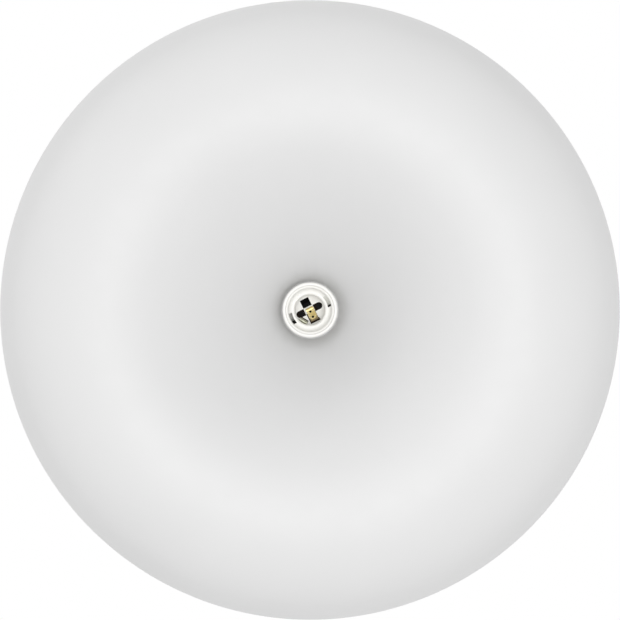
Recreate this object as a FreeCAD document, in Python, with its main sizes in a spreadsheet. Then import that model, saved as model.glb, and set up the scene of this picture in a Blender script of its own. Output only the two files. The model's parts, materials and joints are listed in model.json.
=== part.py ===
"""Ceiling light with a spun bundt-shaped metal shade round a screw lampholder.

Millimetres. +Z is up. The ceiling is the plane Z = 0 and the light hangs below it on the Z axis.
The holder's own features are drawn with X along its two windows and turned into place as one group.
"""
import FreeCAD
import Part
import Sketcher
import math
import os

V = FreeCAD.Vector
UP = V(0, 0, 1)

SIZES = {
    # spun shade
    "shade_radius": 250.0,
    "shade_height": 188.0,
    "shade_wall": 1.2,
    "waist_depth": 64.0,
    "throat_bend": 1.3,
    "throat_land": 22.5,
    "throat_clearance": 0.55,
    "edge_gap": 7.0,
    "edge_bead_radius": 1.8,
    # washer that spreads the ring's grip over the shade
    "spreader_radius": 30.0,
    "spreader_sheet": 1.0,
    # lampholder skirt and its screw socket
    "collar_radius": 22.0,
    "collar_height": 3.5,
    "skirt_radius": 19.75,
    "skirt_length": 22.0,
    "skirt_bore": 17.6,
    "skirt_edge_round": 0.5,
    "skirt_lip_round": 1.6,
    "spigot_wall": 1.3,
    "spigot_height": 6.0,
    "mouth_depth": 10.0,
    "mouth_round": 3.4,
    "shelf_sheet": 2.4,
    "socket_radius": 13.35,
    "socket_wall": 1.35,
    "socket_depth": 27.0,
    "socket_thread_depth": 10.0,
    "socket_relief": 0.55,
    "window_inner_radius": 14.85,
    "window_outer_radius": 17.3,
    "window_width": 8.0,
    "window_count": 2,
    # ring that clamps the shade
    "ring_radius": 22.25,
    "ring_height": 22.0,
    "ring_round": 1.3,
    "ring_inner_round": 0.35,
    "ring_flutes": 36,
    "flute_radius": 0.9,
    "flute_cut": 0.35,
    "flute_height": 9.0,
    "thread_clearance": 0.05,
    # moulded disc that carries the contacts
    "carrier_sheet": 3.5,
    "carrier_clearance": 0.15,
    "boss_radius": 12.0,
    "boss_height": 0.6,
    "gate_width": 7.5,
    "gate_depth": 7.0,
    "gate_offset_x": -0.6,
    "gate_offset_y": -6.8,
    "port_length": 7.3,
    "port_width": 5.7,
    "port_right_x": 7.3,
    "port_left_x": -8.2,
    "port_left_y": -0.3,
    "barrier_sheet": 1.6,
    "barrier_height": 7.0,
    "barrier_length": 5.4,
    "barrier_y": -0.6,
    "leg_clearance": 0.15,
    "locating_bore_radius": 1.35,
    "locating_bore_depth": 3.0,
    # sprung centre contact and the strip it stands on
    "strip_sheet": 0.5,
    "leaf_width": 6.7,
    "leaf_root_y": 9.2,
    "leaf_bend_y": 7.2,
    "leaf_crown_y": -0.6,
    "leaf_tip_y": -2.2,
    "leaf_rise": 3.0,
    "leaf_tip_drop": 0.9,
    "leaf_hole_radius": 1.0,
    "leaf_hole_x": -0.3,
    "leaf_hole_near_y": 1.3,
    "leaf_hole_far_y": 6.1,
    "seat_gap": 0.3,
    "foot_width": 8.4,
    "foot_start_y": 8.2,
    "foot_end_y": 10.6,
    "link_start_x": 1.4,
    # sprung side contact and its strip
    "side_angle": 146.6,
    "side_width": 7.0,
    "side_link_width": 4.0,
    "side_foot_start": 8.2,
    "side_foot_end": 11.2,
    "side_leaf_root": 9.0,
    "side_leaf_knee": 11.7,
    "side_leaf_tip": 10.4,
    "side_leaf_rise": 5.0,
    "side_knee_rise": 2.6,
    # wire clamps behind the carrier
    "clamp_length": 6.4,
    "clamp_width": 5.6,
    "clamp_height": 5.5,
    "clamp_stand_off": 1.5,
    "clamp_x": 7.5,
    "wire_bore_radius": 1.35,
    "clamp_screw_radius": 1.4,
    "clamp_screw_head_radius": 2.2,
    "clamp_screw_head_height": 1.2,
    "clamp_screw_length": 3.0,
    "drive_slot_width": 0.7,
    "drive_slot_depth": 0.6,
    # rear cap of the holder
    "cap_height": 27.0,
    "cap_radius": 20.4,
    "cap_wall": 1.45,
    "cap_neck_radius": 8.6,
    "cap_neck_height": 5.0,
    "cap_shoulder_drop": 13.0,
    "cap_roof_sheet": 4.4,
    "grub_radius": 1.5,
    "grub_length": 3.4,
    # hollow threaded stem with its nut and washer
    "stem_radius": 5.0,
    "stem_bore": 3.9,
    "stem_depth": 5.0,
    "stem_stand_up": 1.0,
    "nut_across_flats": 14.0,
    "nut_sheet": 3.0,
    "washer_radius": 8.5,
    "washer_sheet": 0.8,
    "washer_teeth": 12,
    "tooth_width": 1.6,
    "tooth_depth": 1.5,
    # bent strap that carries the stem
    "strap_sheet": 2.0,
    "strap_width": 24.0,
    "strap_depth": 16.0,
    "strap_web_half": 30.0,
    "strap_foot": 14.0,
    "strap_bend": 3.0,
    "rivet_radius": 1.6,
    "rivet_head_radius": 3.2,
    "rivet_head_height": 1.3,
    "rivet_spread": 7.0,
    "rivet_inset": 5.0,
    "hole_clearance": 0.2,
    # pressed ceiling plate
    "plate_radius": 72.0,
    "plate_sheet": 1.5,
    "plate_rim": 9.0,
    "plate_bend": 4.0,
    "slot_spacing": 76.0,
    "slot_length": 12.0,
    "slot_radius": 2.4,
    "entry_radius": 8.0,
    "bush_bore": 5.0,
    "bush_flange": 2.2,
    "bush_lip": 1.6,
    "bush_neck": 2.5,
    "entry_x": -30.0,
    "entry_y": 26.0,
    # terminal block under the plate
    "block_x": 36.0,
    "block_y": -34.0,
    "block_pitch": 9.0,
    "block_poles": 3,
    "block_depth": 17.0,
    "block_height": 12.5,
    "block_base": 3.6,
    "block_ear": 7.0,
    "block_gap": 1.6,
    "block_roof": 1.2,
    "tower_radius": 2.9,
    "tower_spread": 3.9,
    "insert_radius": 2.2,
    "insert_bore": 1.5,
    "insert_length": 14.0,
    "insert_drop": 7.0,
    "block_screw_radius": 1.25,
    "block_screw_head_radius": 1.9,
    "block_screw_head_height": 1.6,
    "fixing_screw_radius": 1.5,
    "fixing_head_radius": 2.7,
    "fixing_head_height": 1.8,
    "thread_stop": 0.2,
    # earth point on the plate
    "earth_x": 54.0,
    "earth_y": 18.0,
    "earth_screw_radius": 2.0,
    "earth_head_radius": 3.8,
    "earth_head_height": 2.4,
    "earth_washer_sheet": 0.9,
    "earth_washer_radius": 4.4,
    "lug_sheet": 0.8,
    "lug_radius": 4.2,
    "lug_tail": 6.0,
    "lug_tail_width": 3.4,
    "barrel_radius": 1.9,
    "barrel_length": 6.0,
    # single wires
    "wire_radius": 1.1,
    # whole group and general clearances
    "holder_turn": 26.3,
    "fit_gap": 0.05,
    "overrun": 1.0,
}


class Size:
    """A length or angle as a number and as the same formula of the sheet's cells."""

    def __init__(self, number, formula):
        self.number = number
        self.formula = formula

    def __add__(self, other):
        other = as_size(other)
        return Size(self.number + other.number, f"({self.formula} + {other.formula})")

    def __sub__(self, other):
        other = as_size(other)
        return Size(self.number - other.number, f"({self.formula} - {other.formula})")

    def __mul__(self, other):
        other = as_size(other)
        return Size(self.number * other.number, f"({self.formula} * {other.formula})")

    def __truediv__(self, other):
        other = as_size(other)
        return Size(self.number / other.number, f"({self.formula} / {other.formula})")

    def __neg__(self):
        return Size(-self.number, f"(0 - {self.formula})")


def as_size(value):
    """Return a Size, turning a plain count or share into one."""
    if isinstance(value, Size):
        return value
    return Size(float(value), str(value))


doc = FreeCAD.newDocument("CeilingLight")
sheet = doc.addObject("Spreadsheet::Sheet", "Sizes")
for row, (alias, number) in enumerate(SIZES.items(), start=1):
    sheet.set(f"A{row}", alias)
    sheet.set(f"B{row}", str(number))
    sheet.setAlias(f"B{row}", alias)
doc.recompute()


def size(alias):
    """Return the Size held in one named cell."""
    return Size(float(sheet.get(alias)), f"Sizes.{alias}")


ZERO = Size(0.0, "0")

# Levels down the Z axis, each from the piece above it.
plate_under = -size("plate_sheet")
web_under = plate_under - size("strap_depth")
web_top = web_under + size("strap_sheet")
cap_top = web_under - size("washer_sheet")
collar_top = cap_top - size("cap_height")
collar_under = collar_top - size("collar_height")
flange_top = collar_under - size("spreader_sheet")
flange_under = flange_top - size("shade_wall")
skirt_end = collar_under - size("skirt_length")
carrier_face = skirt_end + size("socket_depth")
carrier_back = carrier_face + size("carrier_sheet")
boss_face = carrier_face - size("boss_height")
foot_face = boss_face - size("strip_sheet")
shelf_top = skirt_end + size("mouth_depth") + size("shelf_sheet")
clamp_under = carrier_back + size("clamp_stand_off")
clamp_top = clamp_under + size("clamp_height")
stem_foot = cap_top - size("stem_depth")
stem_top = web_top + size("nut_sheet") + size("stem_stand_up")

sub_parts = []


def register(item, label):
    """Give a finished sub-part its label and remember it for the export."""
    item.Label = label
    sub_parts.append(item)
    return item


def new_body(label):
    """Start an empty body for one sub-part."""
    return register(doc.addObject("PartDesign::Body", label), label)


def origin_feature(body, role):
    """Return a body's own origin plane or axis."""
    return next(item for item in body.Origin.OriginFeatures if item.Role == role)


def new_sketch(body, role, level=ZERO):
    """Attach a sketch to one of the body's origin planes, level above it."""
    sketch = body.newObject("Sketcher::SketchObject", "Outline")
    sketch.AttachmentSupport = [(origin_feature(body, role), "")]
    sketch.MapMode = "FlatFace"
    sketch.AttachmentOffset = FreeCAD.Placement(V(0, 0, level.number), FreeCAD.Rotation())
    sketch.setExpression("AttachmentOffset.Base.z", level.formula)
    return sketch


def drive(sketch, kind, *references, by):
    """Add a constraint whose value is a formula of the sheet."""
    index = sketch.addConstraint(Sketcher.Constraint(kind, *references, by.number))
    sketch.setExpression(f"Constraints[{index}]", by.formula)


def pin_point(sketch, edge, end, point):
    """Tie one end of an edge to its X and Y."""
    drive(sketch, "DistanceX", -1, 1, edge, end, by=point[0])
    drive(sketch, "DistanceY", -1, 1, edge, end, by=point[1])


def at(point):
    """Return a sketch point as a vector."""
    return V(point[0].number, point[1].number, 0)


def heading(start, end):
    """Return the angle of the line from start to end."""
    return math.atan2(end.y - start.y, end.x - start.x)


def add_arc(sketch, centre, radius, low, high):
    """Add an arc that runs anticlockwise from the low to the high angle."""
    return sketch.addGeometry(Part.ArcOfCircle(Part.Circle(centre, UP, radius), low, high), False)


def straight(sketch, start, end):
    """Draw a line and tie its start point."""
    edge = sketch.addGeometry(Part.LineSegment(at(start), at(end)), False)
    pin_point(sketch, edge, 1, start)
    return edge


def rounded_corner(before, corner, after, radius):
    """Return where a corner of two axis-parallel edges starts and ends its round."""
    points = []
    for neighbour in (before, after):
        run_x = neighbour[0].number - corner[0].number
        run_y = neighbour[1].number - corner[1].number
        reach = math.hypot(run_x, run_y)
        share_x = round(run_x / reach, 6)
        share_y = round(run_y / reach, 6)
        points.append((corner[0] + radius * share_x, corner[1] + radius * share_y))
    return points


def draw_outline(sketch, corners):
    """Draw a closed outline of straight edges. A corner with a third value is rounded by it."""
    stops = []
    for index, corner in enumerate(corners):
        if len(corner) == 2:
            stops.append((corner, None))
            continue
        before = corners[index - 1]
        after = corners[(index + 1) % len(corners)]
        start, end = rounded_corner(before, corner, after, corner[2])
        stops.append((start, (corner, corner[2])))
        stops.append((end, None))
    edges = []
    for index, (start, bend) in enumerate(stops):
        end = stops[(index + 1) % len(stops)][0]
        if bend is None:
            edges.append((straight(sketch, start, end), 1, 2))
            continue
        corner, radius = bend
        centre = at(start) + at(end) - at(corner)
        low = heading(centre, at(start))
        high = heading(centre, at(end))
        first = 1 if math.sin(high - low) > 0 else 2
        if first == 2:
            low, high = high, low
        edge = add_arc(sketch, centre, radius.number, low, high)
        pin_point(sketch, edge, first, start)
        drive(sketch, "Radius", edge, by=radius)
        edges.append((edge, first, 3 - first))
    for index, (edge, _, last) in enumerate(edges):
        following, first, _ = edges[(index + 1) % len(edges)]
        sketch.addConstraint(Sketcher.Constraint("Coincident", edge, last, following, first))


def draw_circle(sketch, centre, radius):
    """Draw a circle tied to its centre and radius."""
    edge = sketch.addGeometry(Part.Circle(at(centre), UP, radius.number), False)
    pin_point(sketch, edge, 3, centre)
    drive(sketch, "Radius", edge, by=radius)


def box_corners(low_x, high_x, low_y, high_y):
    """Return the four corners of a rectangle."""
    return [(low_x, low_y), (high_x, low_y), (high_x, high_y), (low_x, high_y)]


def turned(body, corners, role="XZ_Plane"):
    """Revolve an outline of radius and height about the Z axis."""
    sketch = new_sketch(body, role)
    draw_outline(sketch, corners)
    solid = body.newObject("PartDesign::Revolution", "Turned")
    solid.Profile = sketch
    solid.ReferenceAxis = (sketch, ["V_Axis"])
    solid.Angle = 360
    return solid


def raised(body, draw, length, level=ZERO, role="XY_Plane", symmetric=False):
    """Pad what draw() puts in a sketch."""
    sketch = new_sketch(body, role, level)
    draw(sketch)
    pad = body.newObject("PartDesign::Pad", "Raised")
    pad.Profile = sketch
    pad.SideType = "Symmetric" if symmetric else "One side"
    pad.setExpression("Length", length.formula)
    return pad


def cut_down(body, draw, length, level, role="XY_Plane", upward=False, symmetric=False):
    """Pocket what draw() puts in a sketch, from level downwards unless told upwards."""
    sketch = new_sketch(body, role, level)
    draw(sketch)
    pocket = body.newObject("PartDesign::Pocket", "Cut")
    pocket.Profile = sketch
    pocket.SideType = "Symmetric" if symmetric else "One side"
    pocket.Type = "Length"
    pocket.Reversed = upward
    pocket.setExpression("Length", length.formula)
    return pocket


def around(body, feature, count):
    """Repeat a feature round the Z axis."""
    pattern = body.newObject("PartDesign::PolarPattern", "Around")
    pattern.Originals = [feature]
    pattern.Axis = (origin_feature(body, "Z_Axis"), [""])
    pattern.Angle = 360
    pattern.setExpression("Occurrences", count.formula)
    body.Tip = pattern
    return pattern


def turn_with_holder(item, extra=ZERO):
    """Turn a sub-part to the angle at which the holder was screwed in."""
    angle = extra - size("holder_turn")
    item.Placement = FreeCAD.Placement(V(0, 0, 0), FreeCAD.Rotation(UP, angle.number))
    item.setExpression("Placement.Rotation.Angle", angle.formula)


def place(item, x, y, z=ZERO):
    """Stand a sub-part at a place given in the sheet's sizes."""
    item.Placement = FreeCAD.Placement(V(x.number, y.number, z.number), FreeCAD.Rotation())
    item.setExpression("Placement.Base.x", x.formula)
    item.setExpression("Placement.Base.y", y.formula)
    item.setExpression("Placement.Base.z", z.formula)


# Shares of the shade's profile: crest of its radius, funnel of the crest's radius, flank and shoulder of
# the smallest bends that can reach.
CREST_SHARE = 0.66
FUNNEL_SHARE = 1.6
FLANK_SHARE = 1.465
SHOULDER_SHARE = 1.085

crest_radius = size("shade_radius") * CREST_SHARE
funnel_bend = crest_radius * FUNNEL_SHARE
outer_band = size("shade_radius") - crest_radius
crest_drop = size("shade_height") - size("waist_depth")
band_squares = outer_band * outer_band + crest_drop * crest_drop
flank_bend = band_squares / (outer_band * 2) * FLANK_SHARE
crest_bend = (band_squares - outer_band * flank_bend * 2) / ((crest_drop - flank_bend) * 2)
shoulder_bend = (size("waist_depth") - size("edge_gap")) * SHOULDER_SHARE


def shade_centres():
    """Work out where the five bends of the shade's profile have their centres."""
    crest = V(crest_radius.number, crest_bend.number - size("shade_height").number, 0)
    flank = V(size("shade_radius").number - flank_bend.number, -size("waist_depth").number, 0)
    shoulder = V(size("shade_radius").number - shoulder_bend.number, flank.y, 0)
    throat = V(size("throat_land").number, flange_under.number - size("throat_bend").number, 0)
    span = (crest - throat).Length
    to_crest = funnel_bend.number - crest_bend.number
    to_throat = funnel_bend.number + size("throat_bend").number
    share = (to_throat ** 2 + span ** 2 - to_crest ** 2) / (2 * to_throat * span)
    lean = heading(throat, crest) + math.acos(share)
    funnel = throat + V(math.cos(lean), math.sin(lean), 0) * to_throat
    return throat, funnel, crest, flank, shoulder


def draw_shade(sketch):
    """Draw the shade's section: the seen face of five tangent bends, and its back one wall away."""
    throat, funnel, crest, flank, shoulder = shade_centres()
    wall = size("shade_wall").number
    bore = size("skirt_radius") + size("throat_clearance")
    edge_level = -size("edge_gap")
    lean = heading(throat, funnel)
    turn = 2 * math.pi
    crest_low = heading(funnel, crest) + turn
    crest_high = heading(flank, crest) + turn
    shoulder_angle = math.asin((edge_level.number - shoulder.y) / shoulder_bend.number)
    spans = [(throat, size("throat_bend"), lean, math.pi / 2, -wall),
             (funnel, funnel_bend, lean + math.pi, crest_low, wall),
             (crest, crest_bend, crest_low, crest_high, wall),
             (flank, flank_bend, crest_high, turn, wall),
             (shoulder, shoulder_bend, 0, shoulder_angle, wall)]
    face = [add_arc(sketch, centre, bend.number, low, high) for centre, bend, low, high, _ in spans]
    back = [add_arc(sketch, centre, bend.number - inset, low, high) for centre, bend, low, high, inset in spans]
    for edge, (_, bend, _, _, _) in zip(face, spans):
        drive(sketch, "Radius", edge, by=bend)
    drive(sketch, "DistanceX", -1, 1, face[0], 3, by=size("throat_land"))
    drive(sketch, "DistanceX", -1, 1, face[2], 3, by=crest_radius)
    drive(sketch, "DistanceY", -1, 1, face[2], 3, by=crest_bend - size("shade_height"))
    drive(sketch, "DistanceX", -1, 1, face[3], 3, by=size("shade_radius") - flank_bend)
    sketch.addConstraint(Sketcher.Constraint("Horizontal", face[3], 3, face[4], 3))
    land = [(size("throat_land"), flange_under), (size("throat_land"), flange_top)]
    rim = [(bore, flange_under), (bore, flange_top)]
    lands = [sketch.addGeometry(Part.LineSegment(at(start), at(end)), False) for start, end in zip(rim, land)]
    for edge, level in zip(lands, (flange_under, flange_top)):
        sketch.addConstraint(Sketcher.Constraint("Horizontal", edge))
        drive(sketch, "DistanceX", -1, 1, edge, 1, by=bore)
        drive(sketch, "DistanceY", -1, 1, edge, 1, by=level)
    for run, first in ((face, lands[0]), (back, lands[1])):
        sketch.addConstraint(Sketcher.Constraint("Tangent", first, 2, run[0], 2))
        sketch.addConstraint(Sketcher.Constraint("Tangent", run[0], 1, run[1], 1))
        for before, after in zip(run[1:], run[2:]):
            sketch.addConstraint(Sketcher.Constraint("Tangent", before, 2, after, 1))
    for edge, mate in zip(face, back):
        sketch.addConstraint(Sketcher.Constraint("Coincident", edge, 3, mate, 3))
    hole = sketch.addGeometry(Part.LineSegment(at(rim[0]), at(rim[1])), False)
    sketch.addConstraint(Sketcher.Constraint("Coincident", hole, 1, lands[0], 1))
    sketch.addConstraint(Sketcher.Constraint("Coincident", hole, 2, lands[1], 1))
    outer_end = sketch.Geometry[face[4]].EndPoint
    inner_end = sketch.Geometry[back[4]].EndPoint
    rim_cut = sketch.addGeometry(Part.LineSegment(outer_end, inner_end), False)
    sketch.addConstraint(Sketcher.Constraint("Coincident", rim_cut, 1, face[4], 2))
    sketch.addConstraint(Sketcher.Constraint("Coincident", rim_cut, 2, back[4], 2))
    sketch.addConstraint(Sketcher.Constraint("PointOnObject", face[4], 3, rim_cut))
    drive(sketch, "DistanceY", -1, 1, face[4], 2, by=edge_level)


def make_shade():
    """Spun shade: flat land at the throat, funnel, crest, outer flank and a beaded back edge."""
    body = new_body("shade")
    sketch = new_sketch(body, "XZ_Plane")
    draw_shade(sketch)
    spun = body.newObject("PartDesign::Revolution", "Spun")
    spun.Profile = sketch
    spun.ReferenceAxis = (sketch, ["V_Axis"])
    spun.Angle = 360
    bead_sketch = new_sketch(body, "XZ_Plane")
    _, _, _, _, shoulder = shade_centres()
    level = -size("edge_gap") - size("edge_bead_radius")
    guide_radius = shoulder_bend - size("edge_bead_radius")
    reach = math.sqrt(guide_radius.number ** 2 - (level.number - shoulder.y) ** 2)
    bead = bead_sketch.addGeometry(
        Part.Circle(V(shoulder.x + reach, level.number, 0), UP, size("edge_bead_radius").number), False)
    drive(bead_sketch, "Radius", bead, by=size("edge_bead_radius"))
    drive(bead_sketch, "DistanceY", -1, 1, bead, 3, by=level)
    guide = bead_sketch.addGeometry(Part.Circle(shoulder, UP, guide_radius.number), True)
    drive(bead_sketch, "Radius", guide, by=guide_radius)
    drive(bead_sketch, "DistanceX", -1, 1, guide, 3, by=size("shade_radius") - shoulder_bend)
    drive(bead_sketch, "DistanceY", -1, 1, guide, 3, by=-size("waist_depth"))
    bead_sketch.addConstraint(Sketcher.Constraint("PointOnObject", bead, 3, guide))
    rolled = body.newObject("PartDesign::Revolution", "Rolled")
    rolled.Profile = bead_sketch
    rolled.ReferenceAxis = (bead_sketch, ["V_Axis"])
    rolled.Angle = 360


def make_ring_washer():
    """Steel washer between the collar and the shade."""
    body = new_body("shade_washer")
    bore = size("skirt_radius") + size("throat_clearance")
    turned(body, box_corners(bore, size("spreader_radius"), flange_top, collar_under))


def make_ring():
    """Clamping ring: plain thread bore, rounded mouth edge and grip flutes below the shade."""
    body = new_body("shade_ring")
    bore = size("skirt_radius") + size("thread_clearance")
    foot = flange_under - size("ring_height")
    turned(body, [(bore, flange_under),
                  (bore, foot, size("ring_inner_round")),
                  (size("ring_radius"), foot, size("ring_round")),
                  (size("ring_radius"), flange_under)])
    flute_x = size("ring_radius") + size("flute_radius") - size("flute_cut")
    flute = cut_down(body, lambda sketch: draw_circle(sketch, (flute_x, ZERO), size("flute_radius")),
                     size("flute_height"), flange_under)
    around(body, flute, size("ring_flutes"))


def make_skirt():
    """Holder skirt: threaded outside, open mouth, shelf with the socket tube and two windows."""
    body = new_body("holder_skirt")
    rear = collar_top + size("spigot_height")
    spigot = size("skirt_bore") + size("spigot_wall")
    tube = size("socket_radius") + size("socket_wall")
    relief = size("socket_radius") + size("socket_relief")
    thread_start = skirt_end + size("mouth_depth")
    thread_end = thread_start + size("socket_thread_depth")
    turned(body, [(size("skirt_bore"), rear),
                  (size("skirt_bore"), shelf_top),
                  (tube, shelf_top),
                  (tube, carrier_face),
                  (relief, carrier_face),
                  (relief, thread_end),
                  (size("socket_radius"), thread_end),
                  (size("socket_radius"), thread_start),
                  (size("skirt_bore"), thread_start, size("mouth_round")),
                  (size("skirt_bore"), skirt_end, size("skirt_lip_round")),
                  (size("skirt_radius"), skirt_end, size("skirt_edge_round")),
                  (size("skirt_radius"), collar_under),
                  (size("collar_radius"), collar_under),
                  (size("collar_radius"), collar_top),
                  (spigot, collar_top),
                  (spigot, rear)])

    def draw_window(sketch):
        half = size("window_width") / 2
        inner = size("window_inner_radius")
        outer = size("window_outer_radius")
        arcs = []
        for radius in (inner, outer):
            lean = math.asin(half.number / radius.number)
            edge = add_arc(sketch, V(0, 0, 0), radius.number, -lean, lean)
            sketch.addConstraint(Sketcher.Constraint("Coincident", edge, 3, -1, 1))
            drive(sketch, "Radius", edge, by=radius)
            drive(sketch, "DistanceY", -1, 1, edge, 1, by=-half)
            drive(sketch, "DistanceY", -1, 1, edge, 2, by=half)
            arcs.append(edge)
        for end in (1, 2):
            start = sketch.getPoint(arcs[0], end)
            stop = sketch.getPoint(arcs[1], end)
            edge = sketch.addGeometry(Part.LineSegment(start, stop), False)
            sketch.addConstraint(Sketcher.Constraint("Coincident", edge, 1, arcs[0], end))
            sketch.addConstraint(Sketcher.Constraint("Coincident", edge, 2, arcs[1], end))

    depth = size("mouth_round") + size("shelf_sheet") + size("overrun")
    window = cut_down(body, draw_window, depth, shelf_top + size("overrun"))
    around(body, window, size("window_count"))
    turn_with_holder(body)


def rectangle_at(x, y, length, width):
    """Return the corners of a rectangle about its middle."""
    return box_corners(x - length / 2, x + length / 2, y - width / 2, y + width / 2)


def draw_port(sketch, x, y, outward):
    """Draw a D-shaped port whose round end faces outward."""
    half = size("port_width") / 2
    inner = x - size("port_length") / 2 * outward
    centre = (x + (size("port_length") / 2 - half) * outward, y)
    lean = -math.pi / 2 if outward > 0 else math.pi / 2
    cap = add_arc(sketch, at(centre), half.number, lean, lean + math.pi)
    pin_point(sketch, cap, 3, centre)
    drive(sketch, "Radius", cap, by=half)
    sides = []
    for end in (1, 2):
        corner = sketch.getPoint(cap, end)
        side = sketch.addGeometry(Part.LineSegment(corner, V(inner.number, corner.y, 0)), False)
        sketch.addConstraint(Sketcher.Constraint("Horizontal", side))
        sketch.addConstraint(Sketcher.Constraint("Tangent", side, 1, cap, end))
        sides.append(side)
    back = sketch.addGeometry(Part.LineSegment(sketch.getPoint(sides[0], 2), sketch.getPoint(sides[1], 2)), False)
    sketch.addConstraint(Sketcher.Constraint("Coincident", back, 1, sides[0], 2))
    sketch.addConstraint(Sketcher.Constraint("Coincident", back, 2, sides[1], 2))
    sketch.addConstraint(Sketcher.Constraint("Vertical", back))
    drive(sketch, "DistanceX", -1, 1, back, 1, by=inner)


def draw_slot(sketch, x, y, length, radius):
    """Draw a round-ended slot that runs along X."""
    reach = length / 2 - radius
    ends = []
    for way in (-1, 1):
        lean = math.pi / 2 * (2 - way) - math.pi
        centre = (x + reach * way, y)
        cap = add_arc(sketch, at(centre), radius.number, lean, lean + math.pi)
        pin_point(sketch, cap, 3, centre)
        ends.append(cap)
    drive(sketch, "Radius", ends[0], by=radius)
    sketch.addConstraint(Sketcher.Constraint("Equal", ends[0], ends[1]))
    for first, second in ((1, 2), (2, 1)):
        start = sketch.getPoint(ends[0], first)
        stop = sketch.getPoint(ends[1], second)
        side = sketch.addGeometry(Part.LineSegment(start, stop), False)
        sketch.addConstraint(Sketcher.Constraint("Tangent", side, 1, ends[0], first))
        sketch.addConstraint(Sketcher.Constraint("Tangent", side, 2, ends[1], second))


def make_carrier():
    """Moulded disc behind the socket with its openings, raised boss and rear barrier."""
    body = new_body("contact_carrier")
    rim = size("skirt_bore") - size("carrier_clearance")
    turned(body, [(ZERO, boss_face),
                  (size("boss_radius"), boss_face),
                  (size("boss_radius"), carrier_face),
                  (rim, carrier_face),
                  (rim, carrier_back),
                  (ZERO, carrier_back)])
    raised(body, lambda sketch: draw_outline(sketch, rectangle_at(
        ZERO, size("barrier_y"), size("barrier_sheet"), size("barrier_length"))),
        size("barrier_height"), carrier_back)
    through = size("boss_height") + size("carrier_sheet") + size("barrier_height") + size("overrun") * 2
    top = carrier_back + size("barrier_height") + size("overrun")
    cut_down(body, lambda sketch: draw_outline(sketch, rectangle_at(
        size("gate_offset_x"), size("gate_offset_y"), size("gate_width"), size("gate_depth"))), through, top)
    cut_down(body, lambda sketch: draw_port(sketch, size("port_right_x"), ZERO, 1), through, top)
    cut_down(body, lambda sketch: draw_port(sketch, size("port_left_x"), size("port_left_y"), -1), through, top)
    leg_y = size("foot_end_y") - size("strip_sheet") / 2
    cut_down(body, lambda sketch: draw_outline(sketch, rectangle_at(
        ZERO, leg_y, size("foot_width") + size("leg_clearance") * 2,
        size("strip_sheet") + size("leg_clearance") * 2)), through, top)
    slot_reach = size("side_foot_end") - size("strip_sheet") / 2
    side = size("side_angle")
    cosine = Size(math.cos(math.radians(side.number)), f"cos({side.formula} * 1 deg)")
    sine = Size(math.sin(math.radians(side.number)), f"sin({side.formula} * 1 deg)")
    along = (size("strip_sheet") + size("leg_clearance") * 2) / 2
    across = size("side_width") / 2 + size("leg_clearance")

    def draw_side_slot(sketch):
        corners = []
        for run, turn in ((-1, -1), (1, -1), (1, 1), (-1, 1)):
            radial = slot_reach + along * run
            tangential = across * turn
            corners.append((radial * cosine - tangential * sine, radial * sine + tangential * cosine))
        draw_outline(sketch, corners)

    cut_down(body, draw_side_slot, through, top)
    for alias in ("leaf_hole_near_y", "leaf_hole_far_y"):
        cut_down(body, lambda sketch: draw_circle(sketch, (size("leaf_hole_x"), size(alias)),
                                                  size("locating_bore_radius")),
                 size("locating_bore_depth") + size("overrun"), boss_face + size("locating_bore_depth"))
    turn_with_holder(body)


def draw_strip(sketch, points):
    """Draw a bent strip's edge view: the points of one face and the same points one sheet above."""
    sheet_size = size("strip_sheet")
    upper = [(x, y + sheet_size) for x, y in reversed(points)]
    draw_outline(sketch, points + upper)


def make_centre_contact():
    """Sprung brass leaf over the middle of the socket, with its two holes."""
    body = new_body("centre_contact")
    root_level = foot_face - size("seat_gap") - size("strip_sheet")
    crown_level = root_level - size("leaf_rise")
    tip_level = crown_level + size("leaf_tip_drop")
    points = [(size("leaf_tip_y"), tip_level), (size("leaf_crown_y"), crown_level),
              (size("leaf_bend_y"), root_level), (size("leaf_root_y"), root_level)]
    raised(body, lambda sketch: draw_strip(sketch, points), size("leaf_width"), role="YZ_Plane", symmetric=True)
    for alias in ("leaf_hole_near_y", "leaf_hole_far_y"):
        cut_down(body, lambda sketch: draw_circle(sketch, (size("leaf_hole_x"), size(alias)),
                                                  size("leaf_hole_radius")),
                 size("leaf_rise") + size("overrun") * 3, boss_face)
    turn_with_holder(body)


def add_clamp(body, x, y):
    """Add a wire clamp block behind the carrier, bored from above for the wire and below for its screw."""
    raised(body, lambda sketch: draw_outline(sketch, rectangle_at(
        x, y, size("clamp_length"), size("clamp_width"))), size("clamp_height"), clamp_under)
    cut_down(body, lambda sketch: draw_circle(sketch, (x, y), size("wire_bore_radius")),
             size("clamp_height") - size("clamp_screw_length"), clamp_top)
    cut_down(body, lambda sketch: draw_circle(sketch, (x, y), size("clamp_screw_radius") + size("fit_gap")),
             size("clamp_screw_length"), clamp_under, upward=True)


def make_centre_terminal():
    """Brass strip under the leaf's root, its leg through the carrier and its wire clamp."""
    body = new_body("centre_terminal")
    level = clamp_under
    raised(body, lambda sketch: draw_outline(sketch, box_corners(
        -size("foot_width") / 2, size("foot_width") / 2, size("foot_start_y"), size("foot_end_y"))),
        size("strip_sheet"), foot_face)
    raised(body, lambda sketch: draw_outline(sketch, box_corners(
        -size("foot_width") / 2, size("foot_width") / 2,
        size("foot_end_y") - size("strip_sheet"), size("foot_end_y"))),
        level + size("strip_sheet") - foot_face, foot_face)
    raised(body, lambda sketch: draw_outline(sketch, box_corners(
        size("link_start_x"), size("clamp_x") + size("clamp_length") / 2,
        size("clamp_width") / 2, size("foot_end_y"))),
        size("strip_sheet"), level)
    add_clamp(body, size("clamp_x"), ZERO)
    turn_with_holder(body)


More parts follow.
